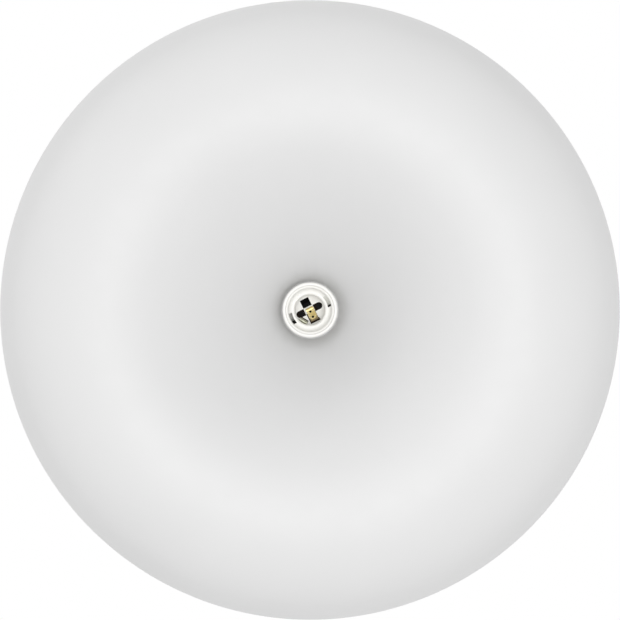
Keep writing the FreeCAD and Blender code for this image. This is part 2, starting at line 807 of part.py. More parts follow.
def make_side_contact():
    """Sprung leaf beside the thread that touches the lamp's shell."""
    body = new_body("side_contact")
    root_level = foot_face - size("seat_gap")
    points = [(size("side_leaf_root"), root_level), (size("side_leaf_knee"), root_level - size("side_knee_rise")),
              (size("side_leaf_tip"), root_level - size("side_leaf_rise"))]
    shift = size("strip_sheet")
    ring = points + [(x + shift, y) for x, y in reversed(points)]
    raised(body, lambda sketch: draw_outline(sketch, ring), size("side_width"), role="XZ_Plane", symmetric=True)
    turn_with_holder(body, size("side_angle"))


def make_side_terminal():
    """Strip under the side leaf, its leg through the carrier and its wire clamp."""
    body = new_body("side_terminal")
    half = size("side_width") / 2
    raised(body, lambda sketch: draw_outline(sketch, box_corners(
        size("side_foot_start"), size("side_foot_end"), -half, half)), size("strip_sheet"), foot_face)
    raised(body, lambda sketch: draw_outline(sketch, box_corners(
        size("side_foot_end") - size("strip_sheet"), size("side_foot_end"), -half, half)),
        clamp_under + size("strip_sheet") - foot_face, foot_face)
    side = size("side_angle")
    cosine = Size(math.cos(math.radians(side.number)), f"cos({side.formula} * 1 deg)")
    sine = Size(math.sin(math.radians(side.number)), f"sin({side.formula} * 1 deg)")
    clamp_x = -size("clamp_x") * cosine
    clamp_y = size("clamp_x") * sine
    add_clamp(body, clamp_x, clamp_y)
    low_x = clamp_x - size("clamp_length") / 2
    link = size("side_link_width") / 2
    raised(body, lambda sketch: draw_outline(sketch, box_corners(
        low_x, size("side_foot_end"), -link, link)), size("strip_sheet"), clamp_under)
    turn_with_holder(body, side)


def draw_circles(sketch, places, radius):
    """Draw one circle at each place."""
    for place_point in places:
        draw_circle(sketch, place_point, radius)


def make_fasteners(label, places, seat, shank, head, slot=True):
    """Make a group of screws or rivets whose heads hang below their seat level.

    shank and head are pairs of radius and length.
    """
    body = new_body(label)
    raised(body, lambda sketch: draw_circles(sketch, places, head[0]), head[1], seat - head[1])
    raised(body, lambda sketch: draw_circles(sketch, places, shank[0]), shank[1], seat)
    if slot:
        def draw_drives(sketch):
            for x, y in places:
                draw_outline(sketch, rectangle_at(x, y, head[0] * 2 + size("overrun"), size("drive_slot_width")))
        cut_down(body, draw_drives, size("drive_slot_depth"), seat - head[1], upward=True)
    return body


def make_terminal_screws():
    """The two screws that grip the wires, their heads towards the round ports."""
    body = make_fasteners("terminal_screws",
                          [(size("clamp_x"), ZERO), (-size("clamp_x"), ZERO)], clamp_under,
                          (size("clamp_screw_radius"), size("clamp_screw_length")),
                          (size("clamp_screw_head_radius"), size("clamp_screw_head_height")))
    turn_with_holder(body)


SLANT_SHARE = 0.53


def make_cap():
    """Rear cap of the holder: threaded neck, sloping shoulders and a hollow for the wire clamps."""
    body = new_body("holder_cap")
    slant = size("cap_wall") * SLANT_SHARE
    inner = size("cap_radius") - size("cap_wall")
    inner_neck = size("cap_neck_radius") - size("cap_wall")
    neck_foot = cap_top - size("cap_neck_height")
    slope_foot = cap_top - size("cap_shoulder_drop")
    roof_under = cap_top - size("cap_roof_sheet")
    bore = size("stem_radius") + size("fit_gap")
    turned(body, [(bore, cap_top),
                  (bore, roof_under),
                  (inner_neck, roof_under),
                  (inner_neck, neck_foot - slant),
                  (inner, slope_foot - slant),
                  (inner, collar_top),
                  (size("cap_radius"), collar_top),
                  (size("cap_radius"), slope_foot),
                  (size("cap_neck_radius"), neck_foot),
                  (size("cap_neck_radius"), cap_top)])
    cut_down(body, lambda sketch: draw_circle(sketch, (ZERO, cap_top - size("cap_roof_sheet") / 2),
                                              size("grub_radius") + size("fit_gap")),
             size("cap_neck_radius") + size("overrun"), ZERO, role="YZ_Plane", upward=True)


def make_grub():
    """Grub screw through the cap's neck that stops it turning on the stem."""
    body = new_body("cap_grub_screw")
    start = size("stem_radius") + size("fit_gap")
    raised(body, lambda sketch: draw_circle(sketch, (ZERO, cap_top - size("cap_roof_sheet") / 2),
                                            size("grub_radius")),
           size("grub_length"), start, role="YZ_Plane")
    cut_down(body, lambda sketch: draw_outline(sketch, rectangle_at(
        ZERO, cap_top - size("cap_roof_sheet") / 2, size("grub_radius") * 3, size("drive_slot_width"))),
        size("drive_slot_depth"), start + size("grub_length"), role="YZ_Plane")


def make_stem():
    """Hollow threaded stem that carries the holder and lets the wires through."""
    body = new_body("threaded_stem")
    turned(body, box_corners(size("stem_bore"), size("stem_radius"), stem_foot, stem_top))


HEXAGON_SHARES = [(0.57735, 0.0), (0.288675, 0.5), (-0.288675, 0.5),
                  (-0.57735, 0.0), (-0.288675, -0.5), (0.288675, -0.5)]


def make_nut():
    """Hexagon nut on the strap that locks the stem."""
    body = new_body("stem_nut")

    def draw_nut(sketch):
        flats = size("nut_across_flats")
        draw_outline(sketch, [(flats * share_x, flats * share_y) for share_x, share_y in HEXAGON_SHARES])
        draw_circle(sketch, (ZERO, ZERO), size("stem_radius") + size("fit_gap"))

    raised(body, draw_nut, size("nut_sheet"), web_top)


def make_tooth_washer():
    """Toothed washer between the strap and the holder's cap."""
    body = new_body("tooth_washer")
    turned(body, box_corners(size("stem_radius") + size("hole_clearance"), size("washer_radius"), cap_top, web_under))
    notch_x = size("washer_radius") - size("tooth_depth") / 2 + size("overrun") / 2
    notch = cut_down(body, lambda sketch: draw_outline(sketch, rectangle_at(
        notch_x, ZERO, size("tooth_depth") + size("overrun"), size("tooth_width"))),
        size("washer_sheet"), web_under)
    around(body, notch, size("washer_teeth"))


def rivet_places():
    """Return where the strap's four rivets go."""
    y = size("strap_web_half") + size("strap_foot") - size("rivet_inset")
    return [(size("rivet_spread") * across, y * along) for across in (-1, 1) for along in (-1, 1)]


def make_strap():
    """Bent steel strap that hangs the holder below the ceiling plate."""
    body = new_body("holder_strap")
    sheet_size = size("strap_sheet")
    inner = size("strap_bend") - sheet_size
    leg = size("strap_web_half")
    toe = leg + size("strap_foot")
    foot_under = plate_under - sheet_size
    outline = [(toe, foot_under), (leg, foot_under, inner), (leg, web_under, size("strap_bend")),
               (-leg, web_under, size("strap_bend")), (-leg, foot_under, inner), (-toe, foot_under),
               (-toe, plate_under), (sheet_size - leg, plate_under, size("strap_bend")),
               (sheet_size - leg, web_top, inner), (leg - sheet_size, web_top, inner),
               (leg - sheet_size, plate_under, size("strap_bend")), (toe, plate_under)]
    raised(body, lambda sketch: draw_outline(sketch, outline), size("strap_width"), role="YZ_Plane", symmetric=True)
    cut_down(body, lambda sketch: draw_circle(sketch, (ZERO, ZERO), size("stem_radius") + size("hole_clearance")),
             sheet_size + size("overrun") * 2, web_top + size("overrun"))
    cut_down(body, lambda sketch: draw_circles(sketch, rivet_places(), size("rivet_radius") + size("fit_gap")),
             sheet_size + size("overrun"), plate_under + size("overrun") / 2)


def slot_places():
    """Return the middles of the two ceiling slots."""
    half = size("slot_spacing") / 2
    return [(-half, ZERO), (half, ZERO)]


def block_ear_place():
    """Return where the terminal block is screwed to the plate."""
    ear_x = size("block_x") - size("block_pitch") * size("block_poles") / 2 - size("block_ear") / 2
    return ear_x, size("block_y")


def make_plate():
    """Pressed ceiling plate with its turned-down rim, slots, cable entry and fixing holes."""
    body = new_body("ceiling_plate")
    rim = size("plate_radius")
    sheet_size = size("plate_sheet")
    turned(body, [(ZERO, ZERO),
                  (rim, ZERO, size("plate_bend")),
                  (rim, -size("plate_rim")),
                  (rim - sheet_size, -size("plate_rim")),
                  (rim - sheet_size, -sheet_size, size("plate_bend") - sheet_size),
                  (ZERO, -sheet_size)])
    depth = sheet_size + size("overrun") * 2
    top = size("overrun")

    def draw_slots(sketch):
        for x, y in slot_places():
            draw_slot(sketch, x, y, size("slot_length"), size("slot_radius"))

    cut_down(body, draw_slots, depth, top)
    entry = (size("entry_x"), size("entry_y"))
    cut_down(body, lambda sketch: draw_circle(sketch, entry, size("entry_radius")), depth, top)
    cut_down(body, lambda sketch: draw_circles(sketch, rivet_places(), size("rivet_radius") + size("fit_gap")),
             depth, top)
    cut_down(body, lambda sketch: draw_circle(sketch, block_ear_place(),
                                              size("fixing_screw_radius") + size("fit_gap")), depth, top)
    earth = (size("earth_x"), size("earth_y"))
    cut_down(body, lambda sketch: draw_circle(sketch, earth, size("earth_screw_radius") + size("fit_gap")),
             depth, top)


def make_bush():
    """Soft bush that guards the supply cable where it comes through the plate."""
    body = new_body("cable_bush")
    neck = size("entry_radius") - size("fit_gap")
    flange = size("entry_radius") + size("bush_flange")
    lip_under = plate_under - size("bush_lip")
    turned(body, [(size("bush_bore"), ZERO),
                  (neck, ZERO),
                  (neck, plate_under),
                  (flange, plate_under),
                  (flange, lip_under),
                  (neck, lip_under),
                  (neck, lip_under - size("bush_neck")),
                  (size("bush_bore"), lip_under - size("bush_neck"))])
    place(body, size("entry_x"), size("entry_y"))


def pole_places():
    """Return the X of each pole of the terminal block, from its own middle."""
    poles = int(size("block_poles").number)
    return [size("block_pitch") * (pole - (poles - 1) / 2) for pole in range(poles)]


def tower_places():
    """Return where the terminal block's clamp screws stand, from its own middle."""
    return [(x, size("tower_spread") * way) for x in pole_places() for way in (-1, 1)]


def make_block():
    """Moulded terminal block: base with an ear, one tunnel for each pole and two screw towers on each."""
    body = new_body("terminal_block")
    half_length = size("block_pitch") * size("block_poles") / 2
    half_depth = size("block_depth") / 2
    raised(body, lambda sketch: draw_outline(sketch, box_corners(
        -half_length - size("block_ear"), half_length, -half_depth, half_depth)),
        size("block_base"), plate_under - size("block_base"))
    tunnel = size("insert_drop") + size("insert_radius") + size("block_roof")

    def draw_tunnels(sketch):
        for x in pole_places():
            draw_outline(sketch, rectangle_at(x, ZERO, size("block_pitch") - size("block_gap"), size("block_depth")))

    raised(body, draw_tunnels, tunnel, plate_under - tunnel)
    raised(body, lambda sketch: draw_circles(sketch, tower_places(), size("tower_radius")),
           size("block_height") - size("insert_drop"), plate_under - size("block_height"))
    level = plate_under - size("insert_drop")

    def draw_bores(sketch):
        for x in pole_places():
            draw_circle(sketch, (x, level), size("insert_radius") + size("fit_gap"))

    cut_down(body, draw_bores, size("block_depth") + size("overrun"), ZERO, role="XZ_Plane", symmetric=True)
    cut_down(body, lambda sketch: draw_circles(sketch, tower_places(),
                                               size("block_screw_head_radius") + size("fit_gap")),
             size("block_height") - size("insert_drop"), plate_under - size("block_height"), upward=True)
    ear_x = -half_length - size("block_ear") / 2
    cut_down(body, lambda sketch: draw_circle(sketch, (ear_x, ZERO), size("fixing_screw_radius") + size("fit_gap")),
             size("block_base") + size("overrun"), plate_under + size("overrun") / 2)
    place(body, size("block_x"), size("block_y"))


def make_inserts():
    """Brass tubes in the terminal block."""
    body = new_body("terminal_inserts")
    level = plate_under - size("insert_drop")

    def draw_tubes(sketch):
        for x in pole_places():
            draw_circle(sketch, (x, level), size("insert_radius"))
            draw_circle(sketch, (x, level), size("insert_bore"))

    raised(body, draw_tubes, size("insert_length"), role="XZ_Plane", symmetric=True)
    cut_down(body, lambda sketch: draw_circles(sketch, tower_places(), size("block_screw_radius") + size("fit_gap")),
             size("insert_radius") + size("overrun"), level - size("insert_radius") - size("overrun"), upward=True)
    place(body, size("block_x"), size("block_y"))


def make_block_screws():
    """Clamp screws of the terminal block, set down in their towers."""
    seat = plate_under - size("insert_drop") - size("insert_radius")
    body = make_fasteners("terminal_block_screws", tower_places(), seat - size("fit_gap"),
                          (size("block_screw_radius"), size("insert_radius") - size("wire_radius")),
                          (size("block_screw_head_radius"), size("block_screw_head_height")))
    place(body, size("block_x"), size("block_y"))


def make_plate_fasteners():
    """Rivets of the strap, the block's fixing screw and the earth screw."""
    through = plate_under - size("thread_stop")
    foot_under = plate_under - size("strap_sheet")
    make_fasteners("strap_rivets", rivet_places(), foot_under,
                   (size("rivet_radius"), -foot_under - size("thread_stop")),
                   (size("rivet_head_radius"), size("rivet_head_height")), slot=False)
    block_under = plate_under - size("block_base")
    make_fasteners("block_fixing_screw", [block_ear_place()], block_under,
                   (size("fixing_screw_radius"), -block_under - size("thread_stop")),
                   (size("fixing_head_radius"), size("fixing_head_height")))
    stack_under = plate_under - size("lug_sheet") - size("earth_washer_sheet")
    make_fasteners("earth_screw", [(size("earth_x"), size("earth_y"))], stack_under,
                   (size("earth_screw_radius"), -stack_under - size("thread_stop")),
                   (size("earth_head_radius"), size("earth_head_height")))


def make_earth_lug():
    """Ring tag with its crimped barrel for the earth wire."""
    body = new_body("earth_lug")
    middle = (ZERO, ZERO)
    barrel_start = -size("lug_radius") - size("lug_tail")
    raised(body, lambda sketch: draw_circle(sketch, middle, size("lug_radius")),
           size("lug_sheet"), plate_under - size("lug_sheet"))
    raised(body, lambda sketch: draw_outline(sketch, box_corners(
        -size("lug_tail_width") / 2, size("lug_tail_width") / 2, barrel_start - size("fit_gap"), ZERO)),
        size("lug_sheet"), plate_under - size("lug_sheet"))
    centre = (ZERO, plate_under - size("barrel_radius"))
    raised(body, lambda sketch: draw_circle(sketch, centre, size("barrel_radius")),
           size("barrel_length"), -barrel_start, role="XZ_Plane")
    cut_down(body, lambda sketch: draw_circle(sketch, centre, size("wire_radius") + size("fit_gap")),
             size("barrel_length") + size("overrun"), -barrel_start - size("overrun") / 2,
             role="XZ_Plane", upward=True)
    cut_down(body, lambda sketch: draw_circle(sketch, middle, size("earth_screw_radius") + size("hole_clearance")),
             size("lug_sheet") + size("overrun"), plate_under + size("overrun") / 2)
    place(body, size("earth_x"), size("earth_y"))


def make_earth_washer():
    """Plain washer under the earth screw's head."""
    body = new_body("earth_washer")
    top = plate_under - size("lug_sheet")
    turned(body, box_corners(size("earth_screw_radius") + size("hole_clearance"), size("earth_washer_radius"),
                             top - size("earth_washer_sheet"), top))
    place(body, size("earth_x"), size("earth_y"))


# Routes of the single wires, point by point.
LIVE_ROUTE = [(6.72, -3.32, -35.0), (6.72, -3.32, -30.8), (1.2, -0.6, -24.4), (1.2, -0.6, -7.4),
              (15.0, -13.0, -7.0), (26.6, -19.6, -8.2), (27.0, -30.0, -8.5)]
NEUTRAL_ROUTE = [(-6.72, 3.32, -35.0), (-6.72, 3.32, -30.8), (-1.2, 0.6, -24.4), (-1.2, 0.6, -4.4),
                 (17.0, -9.0, -4.8), (34.6, -19.0, -7.8), (36.0, -30.0, -8.5)]
EARTH_ROUTE = [(45.0, -30.0, -8.5), (45.4, -20.0, -8.4), (52.6, -12.0, -5.0), (54.0, -4.0, -3.4),
               (54.0, 4.2, -3.4)]
RUN_SHARE = 0.45


def make_wire(label, route):
    """Sweep one insulated wire along straight runs joined by tangent arcs."""
    points = [V(*point) for point in route]
    radius = size("wire_radius").number
    edges = []
    start = points[0]
    for before, corner, after in zip(points, points[1:], points[2:]):
        inward = (corner - before).normalize()
        outward = (after - corner).normalize()
        half_turn = math.acos(max(-1.0, min(1.0, inward.dot(outward)))) / 2
        shorter = min((corner - before).Length, (after - corner).Length)
        setback = RUN_SHARE * shorter
        bend = setback / math.tan(half_turn)
        entry = corner - inward * setback
        leave = corner + outward * setback
        away = (outward - inward).normalize()
        centre = corner + away * math.hypot(bend, setback)
        middle = centre + (corner - centre).normalize() * bend
        edges.append(Part.LineSegment(start, entry).toShape())
        edges.append(Part.Arc(entry, middle, leave).toShape())
        start = leave
        print(f"{label}: bend of {bend:.1f} mm")
    edges.append(Part.LineSegment(start, points[-1]).toShape())
    path = Part.Wire(edges)
    first = (points[1] - points[0]).normalize()
    section = Part.Wire(Part.Circle(points[0], first, radius).toShape())
    item = doc.addObject("Part::Feature", label)
    item.Shape = path.makePipeShell([section], True, False)
    expected = math.pi * radius ** 2 * path.Length
    print(f"{label}: {path.Length:.1f} mm long, volume {item.Shape.Volume / expected:.4f} of section times length")
    item.Placement = FreeCAD.Placement()
    return register(item, label)


make_shade()
make_ring_washer()
make_ring()
make_skirt()
make_carrier()
make_centre_contact()
make_centre_terminal()
make_side_contact()
make_side_terminal()
make_terminal_screws()
make_cap()
make_grub()
make_stem()
make_nut()
make_tooth_washer()
make_strap()
make_plate()
make_plate_fasteners()
make_bush()
make_block()
make_inserts()
make_block_screws()
make_earth_lug()
make_earth_washer()
make_wire("live_wire", LIVE_ROUTE)
make_wire("neutral_wire", NEUTRAL_ROUTE)
make_wire("earth_wire", EARTH_ROUTE)
doc.recompute()

for item in doc.Objects:
    if "Invalid" in item.State or "Error" in item.State:
        raise RuntimeError(f"{item.Label} was left {item.State}")
for item in sub_parts:
    shape = item.Shape
    if shape.isNull() or not shape.isValid() or not shape.Solids:
        raise RuntimeError(f"{item.Label} has no valid solid")

os.makedirs("parts", exist_ok=True)
for item in sub_parts:
    item.Shape.exportStep(f"parts/{item.Label}.step")
    print(f"{item.Label}: {len(item.Shape.Solids)} solid(s), {item.Shape.Volume:.1f} mm3")
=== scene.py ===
# %% [markdown]
# # A spun ceiling light, seen from below
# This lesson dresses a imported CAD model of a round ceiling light. The CAD solids give every size and every
# joint. Here the large painted shade, the moulded skirt with its two threads and the sprung contact get finer
# meshes, and everything gets a finish. All lengths are metres, +Z is up and the ceiling is Z = 0.

# %% Load the frame
import bpy
import bmesh
import json
import math
from mathutils import Matrix, Vector


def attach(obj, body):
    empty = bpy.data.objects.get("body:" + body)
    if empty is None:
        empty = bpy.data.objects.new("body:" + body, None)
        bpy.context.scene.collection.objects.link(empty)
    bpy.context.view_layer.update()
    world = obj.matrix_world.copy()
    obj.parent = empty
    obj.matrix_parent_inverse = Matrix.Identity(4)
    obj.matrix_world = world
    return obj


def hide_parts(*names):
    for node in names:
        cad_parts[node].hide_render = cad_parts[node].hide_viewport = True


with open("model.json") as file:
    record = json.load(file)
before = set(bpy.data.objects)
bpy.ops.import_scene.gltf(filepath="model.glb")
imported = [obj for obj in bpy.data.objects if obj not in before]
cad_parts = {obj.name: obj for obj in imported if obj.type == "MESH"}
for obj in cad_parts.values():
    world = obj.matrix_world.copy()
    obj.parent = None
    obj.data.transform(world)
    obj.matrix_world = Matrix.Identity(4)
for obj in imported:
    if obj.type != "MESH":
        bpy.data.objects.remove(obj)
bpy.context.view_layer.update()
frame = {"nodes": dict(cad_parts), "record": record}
nodes = frame["nodes"]
MM = 0.001
TURN = 2 * math.pi

# %% [markdown]
# ## Helpers for meshes
# Nearly everything on this light was spun, turned or moulded round one axis, so most shapes are an outline of
# radius and height that is carried round the Z axis. A helper that takes a radius for each angle too can also
# cut screw threads, which a plain screw modifier cannot.

# %% Mesh helpers
WELD_DISTANCE = 1e-7
scene = bpy.context.scene


def add_piece(name, points, faces, smooth=True):
    """Make a mesh object from points and faces."""
    mesh = bpy.data.meshes.new(name)
    mesh.from_pydata(points, [], faces)
    mesh.validate()
    mesh.polygons.foreach_set("use_smooth", [smooth] * len(mesh.polygons))
    piece = bpy.data.objects.new(name, mesh)
    scene.collection.objects.link(piece)
    return piece


def carried_round(name, outline, segments, reach=None):
    """Carry a closed outline of (radius, height) round Z. reach() may change a radius at each angle."""
    points = []
    for step in range(segments):
        angle = TURN * step / segments
        for index, (radius, height) in enumerate(outline):
            here = reach(index, radius, height, angle) if reach else radius
            points.append((here * math.cos(angle), here * math.sin(angle), height))
    count = len(outline)
    faces = []
    for step in range(segments):
        start = step * count
        after = (step + 1) % segments * count
        for index in range(count):
            following = (index + 1) % count
            faces.append((start + index, after + index, after + following, start + following))
    return add_piece(name, points, faces)


def arc_points(centre, radius, low, high, count):
    """Return points of an arc from the low to the high angle."""
    points = []
    for step in range(count + 1):
        angle = low + (high - low) * step / count
        points.append((centre[0] + radius * math.cos(angle), centre[1] + radius * math.sin(angle)))
    return points


def outward(piece):
    """Turn all faces of a closed mesh outwards."""
    work = bmesh.new()
    work.from_mesh(piece.data)
    bmesh.ops.remove_doubles(work, verts=work.verts, dist=WELD_DISTANCE)
    bmesh.ops.recalc_face_normals(work, faces=work.faces)
    work.to_mesh(piece.data)
    work.free()
    return piece


# %% [markdown]
# ## The spun shade
# On the real light a disc of aluminium is pressed over a turning wooden form, so the shade is one sheet of
# even thickness with no seam. Its section is five arcs that run into each other: a tight throat round the
# holder, a long funnel, the crest, the outer flank and a shoulder that turns in towards the ceiling. The back
# edge is rolled. The arcs come from the same sizes as the CAD solid, and a fine mesh keeps the soft gradient
# of light on it clean.

# %% Shade outline
SHADE_RADIUS = 250.0 * MM
SHADE_HEIGHT = 188.0 * MM
SHADE_WALL = 1.2 * MM
WAIST_DEPTH = 64.0 * MM
EDGE_GAP = 7.0 * MM
BEAD_RADIUS = 1.8 * MM
THROAT_BEND = 1.3 * MM
THROAT_LAND = 22.5 * MM
THROAT_BORE = 20.3 * MM
THROAT_LEVEL = -51.0 * MM
CREST_SHARE = 0.66
FUNNEL_SHARE = 1.6
FLANK_SHARE = 1.465
SHOULDER_SHARE = 1.085
BEAD_TURN = 1.5 * math.pi
BEAD_STEPS = 20
SHADE_SEGMENTS = 256
NEAR = 1e-6

crest_radius = SHADE_RADIUS * CREST_SHARE
funnel_bend = crest_radius * FUNNEL_SHARE
outer_band = SHADE_RADIUS - crest_radius
crest_drop = SHADE_HEIGHT - WAIST_DEPTH
band_squares = outer_band ** 2 + crest_drop ** 2
flank_bend = band_squares / (2 * outer_band) * FLANK_SHARE
crest_bend = (band_squares - 2 * outer_band * flank_bend) / (2 * (crest_drop - flank_bend))
shoulder_bend = (WAIST_DEPTH - EDGE_GAP) * SHOULDER_SHARE


def shade_outline():
    """Return the closed section of the shade, seen face first, then its back."""
    crest = Vector((crest_radius, crest_bend - SHADE_HEIGHT))
    flank = Vector((SHADE_RADIUS - flank_bend, -WAIST_DEPTH))
    shoulder = Vector((SHADE_RADIUS - shoulder_bend, -WAIST_DEPTH))
    throat = Vector((THROAT_LAND, THROAT_LEVEL - THROAT_BEND))
    across = crest - throat
    span = across.length
    to_crest = funnel_bend - crest_bend
    to_throat = funnel_bend + THROAT_BEND
    share = (to_throat ** 2 + span ** 2 - to_crest ** 2) / (2 * to_throat * span)
    lean = math.atan2(across.y, across.x) + math.acos(share)
    funnel = throat + Vector((math.cos(lean), math.sin(lean))) * to_throat
    crest_low = math.atan2(crest.y - funnel.y, crest.x - funnel.x) + TURN
    crest_high = math.atan2(crest.y - flank.y, crest.x - flank.x) + TURN
    edge_angle = math.asin((WAIST_DEPTH - EDGE_GAP - BEAD_RADIUS) / shoulder_bend)
    # Each arc has its centre, radius, first and last angle, the inset of its back, and its steps.
    spans = [(throat, THROAT_BEND, math.pi / 2, lean, -SHADE_WALL, 12),
             (funnel, funnel_bend, lean + math.pi, crest_low, SHADE_WALL, 56),
             (crest, crest_bend, crest_low, crest_high, SHADE_WALL, 48),
             (flank, flank_bend, crest_high, TURN, SHADE_WALL, 36),
             (shoulder, shoulder_bend, 0.0, edge_angle, SHADE_WALL, 16)]
    face = [(THROAT_BORE, THROAT_LEVEL)]
    back = [(THROAT_BORE, THROAT_LEVEL + SHADE_WALL)]
    for centre, radius, low, high, inset, count in spans:
        face += arc_points(centre, radius, low, high, count)
        back += arc_points(centre, radius - inset, low, high, count)
    bead_guide = shoulder_bend - BEAD_RADIUS
    bead_rise = WAIST_DEPTH - EDGE_GAP - BEAD_RADIUS
    bead = Vector((shoulder.x + math.sqrt(bead_guide ** 2 - bead_rise ** 2), -EDGE_GAP - BEAD_RADIUS))
    outer = math.atan2(bead.y - shoulder.y, bead.x - shoulder.x)
    face = [point for point in face if math.dist(point, bead) > BEAD_RADIUS]
    back = [point for point in back if math.dist(point, bead) > BEAD_RADIUS]
    rolled = arc_points(bead, BEAD_RADIUS, outer, outer + BEAD_TURN, BEAD_STEPS)
    outline = face + rolled + back[::-1]
    clean = [outline[0]]
    for point in outline[1:]:
        if math.dist(point, clean[-1]) > NEAR:
            clean.append(point)
    return clean


section = shade_outline()
shade = outward(carried_round("shade_spun", section, SHADE_SEGMENTS))
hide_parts("shade")
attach(shade, "shade")
print("shade:", len(section), "points round the section,", len(shade.data.polygons), "faces")

# %% [markdown]
# ## The holder's skirt
# The white skirt is one thermoset moulding. Outside it has the coarse thread on which the shade ring turns,
# and inside the round thread that takes the lamp. Between its lip and that thread the mouth narrows in a
# hollow round. The threads are too fine for the CAD solid, which has plain walls at their outer sizes. The
# outline is carried round with a radius that also depends on the angle, so both threads are cut in the mesh
# and still meet after each turn. Two windows are then cut with a Boolean.

# %% Skirt sizes
HOLDER_TURN = math.radians(-26.3)
SKIRT_END = -70.8 * MM
SKIRT_RADIUS = 19.75 * MM
SKIRT_BORE = 17.6 * MM
SKIRT_LIP = 1.6 * MM
SKIRT_EDGE = 0.5 * MM
COLLAR_UNDER = -48.8 * MM
COLLAR_TOP = -45.3 * MM
COLLAR_RADIUS = 22.0 * MM
COLLAR_CHAMFER = 0.3 * MM
SPIGOT_RADIUS = 18.9 * MM
SPIGOT_TOP = -39.3 * MM
MOUTH_ROUND = 3.4 * MM
SHELF_TOP = -58.4 * MM
TUBE_TOP = -43.8 * MM
TUBE_RADIUS = 14.7 * MM
SOCKET_RADIUS = 13.35 * MM
SOCKET_LOW = -60.8 * MM
SOCKET_HIGH = -50.8 * MM
RELIEF_RADIUS = 13.9 * MM
print("skirt:", round((SPIGOT_TOP - SKIRT_END) / MM, 1), "mm high")

# %% Thread forms
RING_PITCH = 2.5 * MM
RING_THREAD_DEPTH = 0.75 * MM
RING_THREAD_LOW = SKIRT_END + 1.6 * MM
RING_THREAD_HIGH = COLLAR_UNDER - 0.4 * MM
LAMP_PITCH = 3.629 * MM
LAMP_THREAD_HEIGHT = 1.15 * MM
LAMP_THREAD_LOW = SOCKET_LOW - 0.2 * MM
LAMP_THREAD_HIGH = SOCKET_HIGH
THREAD_FADE = 1.2 * MM
FLATNESS = 1.5


def faded(height, low, high):
    """Return 0 at both ends of a thread and 1 along it."""
    inside = min(height - low, high - height) / THREAD_FADE
    share = max(0.0, min(1.0, inside))
    return share * share * (3 - 2 * share)


def round_thread(turns):
    """Return the height share of a rounded thread, from the turns along it."""
    return 0.5 - 0.5 * math.cos(TURN * turns)


def flat_thread(turns):
    """Return the depth share of a thread with flat crests and roots."""
    return max(0.0, min(1.0, FLATNESS * round_thread(turns) - (FLATNESS - 1) / 2))


print("thread pitches:", RING_PITCH / MM, "mm outside and", LAMP_PITCH / MM, "mm inside")

# %% Skirt section
THREAD_STEP = 0.2 * MM
lip_centre = (SKIRT_BORE + SKIRT_LIP, SKIRT_END + SKIRT_LIP)
lip = arc_points(lip_centre, SKIRT_LIP, math.pi, 1.5 * math.pi, 10)
edge_centre = (SKIRT_RADIUS - SKIRT_EDGE, SKIRT_END + SKIRT_EDGE)
edge = arc_points(edge_centre, SKIRT_EDGE, 1.5 * math.pi, TURN, 6)
mouth_centre = (SKIRT_BORE - MOUTH_ROUND, SOCKET_LOW - MOUTH_ROUND)
mouth = [(SOCKET_RADIUS, SOCKET_LOW)] + arc_points(mouth_centre, MOUTH_ROUND, math.pi / 2, 0, 16)
collar = [(SKIRT_RADIUS, COLLAR_UNDER), (COLLAR_RADIUS - COLLAR_CHAMFER, COLLAR_UNDER),
          (COLLAR_RADIUS, COLLAR_UNDER + COLLAR_CHAMFER), (COLLAR_RADIUS, COLLAR_TOP - COLLAR_CHAMFER),
          (COLLAR_RADIUS - COLLAR_CHAMFER, COLLAR_TOP), (SPIGOT_RADIUS, COLLAR_TOP)]
inside = [(SPIGOT_RADIUS, SPIGOT_TOP), (SKIRT_BORE, SPIGOT_TOP), (SKIRT_BORE, SHELF_TOP),
          (TUBE_RADIUS, SHELF_TOP), (TUBE_RADIUS, TUBE_TOP), (RELIEF_RADIUS, TUBE_TOP),
          (RELIEF_RADIUS, SOCKET_HIGH)]
socket_drop = SOCKET_LOW - SOCKET_HIGH
socket_steps = round(-socket_drop / THREAD_STEP)
socket_levels = [SOCKET_HIGH + socket_drop * step / socket_steps for step in range(socket_steps)]
socket_wall = [(SOCKET_RADIUS, level) for level in socket_levels]
wall_height = COLLAR_UNDER - edge_centre[1]
wall_steps = round(wall_height / THREAD_STEP)
wall_levels = [edge_centre[1] + wall_height * step / wall_steps for step in range(1, wall_steps)]
outer_wall = [(SKIRT_RADIUS, level) for level in wall_levels]
skirt_section = socket_wall + mouth + lip + edge + outer_wall + collar + inside
socket_rows = range(len(socket_wall))
outer_start = len(socket_wall) + len(mouth) + len(lip) + len(edge)
outer_rows = range(outer_start, outer_start + len(outer_wall))
print("skirt:", len(skirt_section), "points round the section")

# %% Skirt mesh
SKIRT_SEGMENTS = 224


def threaded(index, radius, height, angle):
    """Cut the ring's thread outside and raise the lamp's thread inside."""
    if index in outer_rows:
        turns = height / RING_PITCH - angle / TURN
        share = faded(height, RING_THREAD_LOW, RING_THREAD_HIGH)
        return radius - RING_THREAD_DEPTH * share * flat_thread(turns)
    if index in socket_rows:
        turns = height / LAMP_PITCH - angle / TURN
        share = faded(height, LAMP_THREAD_LOW, LAMP_THREAD_HIGH)
        return radius - LAMP_THREAD_HEIGHT * share * round_thread(turns)
    return radius


skirt = outward(carried_round("skirt_moulding", skirt_section, SKIRT_SEGMENTS, threaded))
print("skirt:", len(skirt.data.polygons), "faces")

# %% Skirt windows
WINDOW_INNER = 14.7 * MM
WINDOW_OUTER = 17.4 * MM
WINDOW_HALF = 4.6 * MM
WINDOW_STEPS = 12
CUTTER_LOW = -64.9 * MM
CUTTER_HIGH = SHELF_TOP + 1 * MM


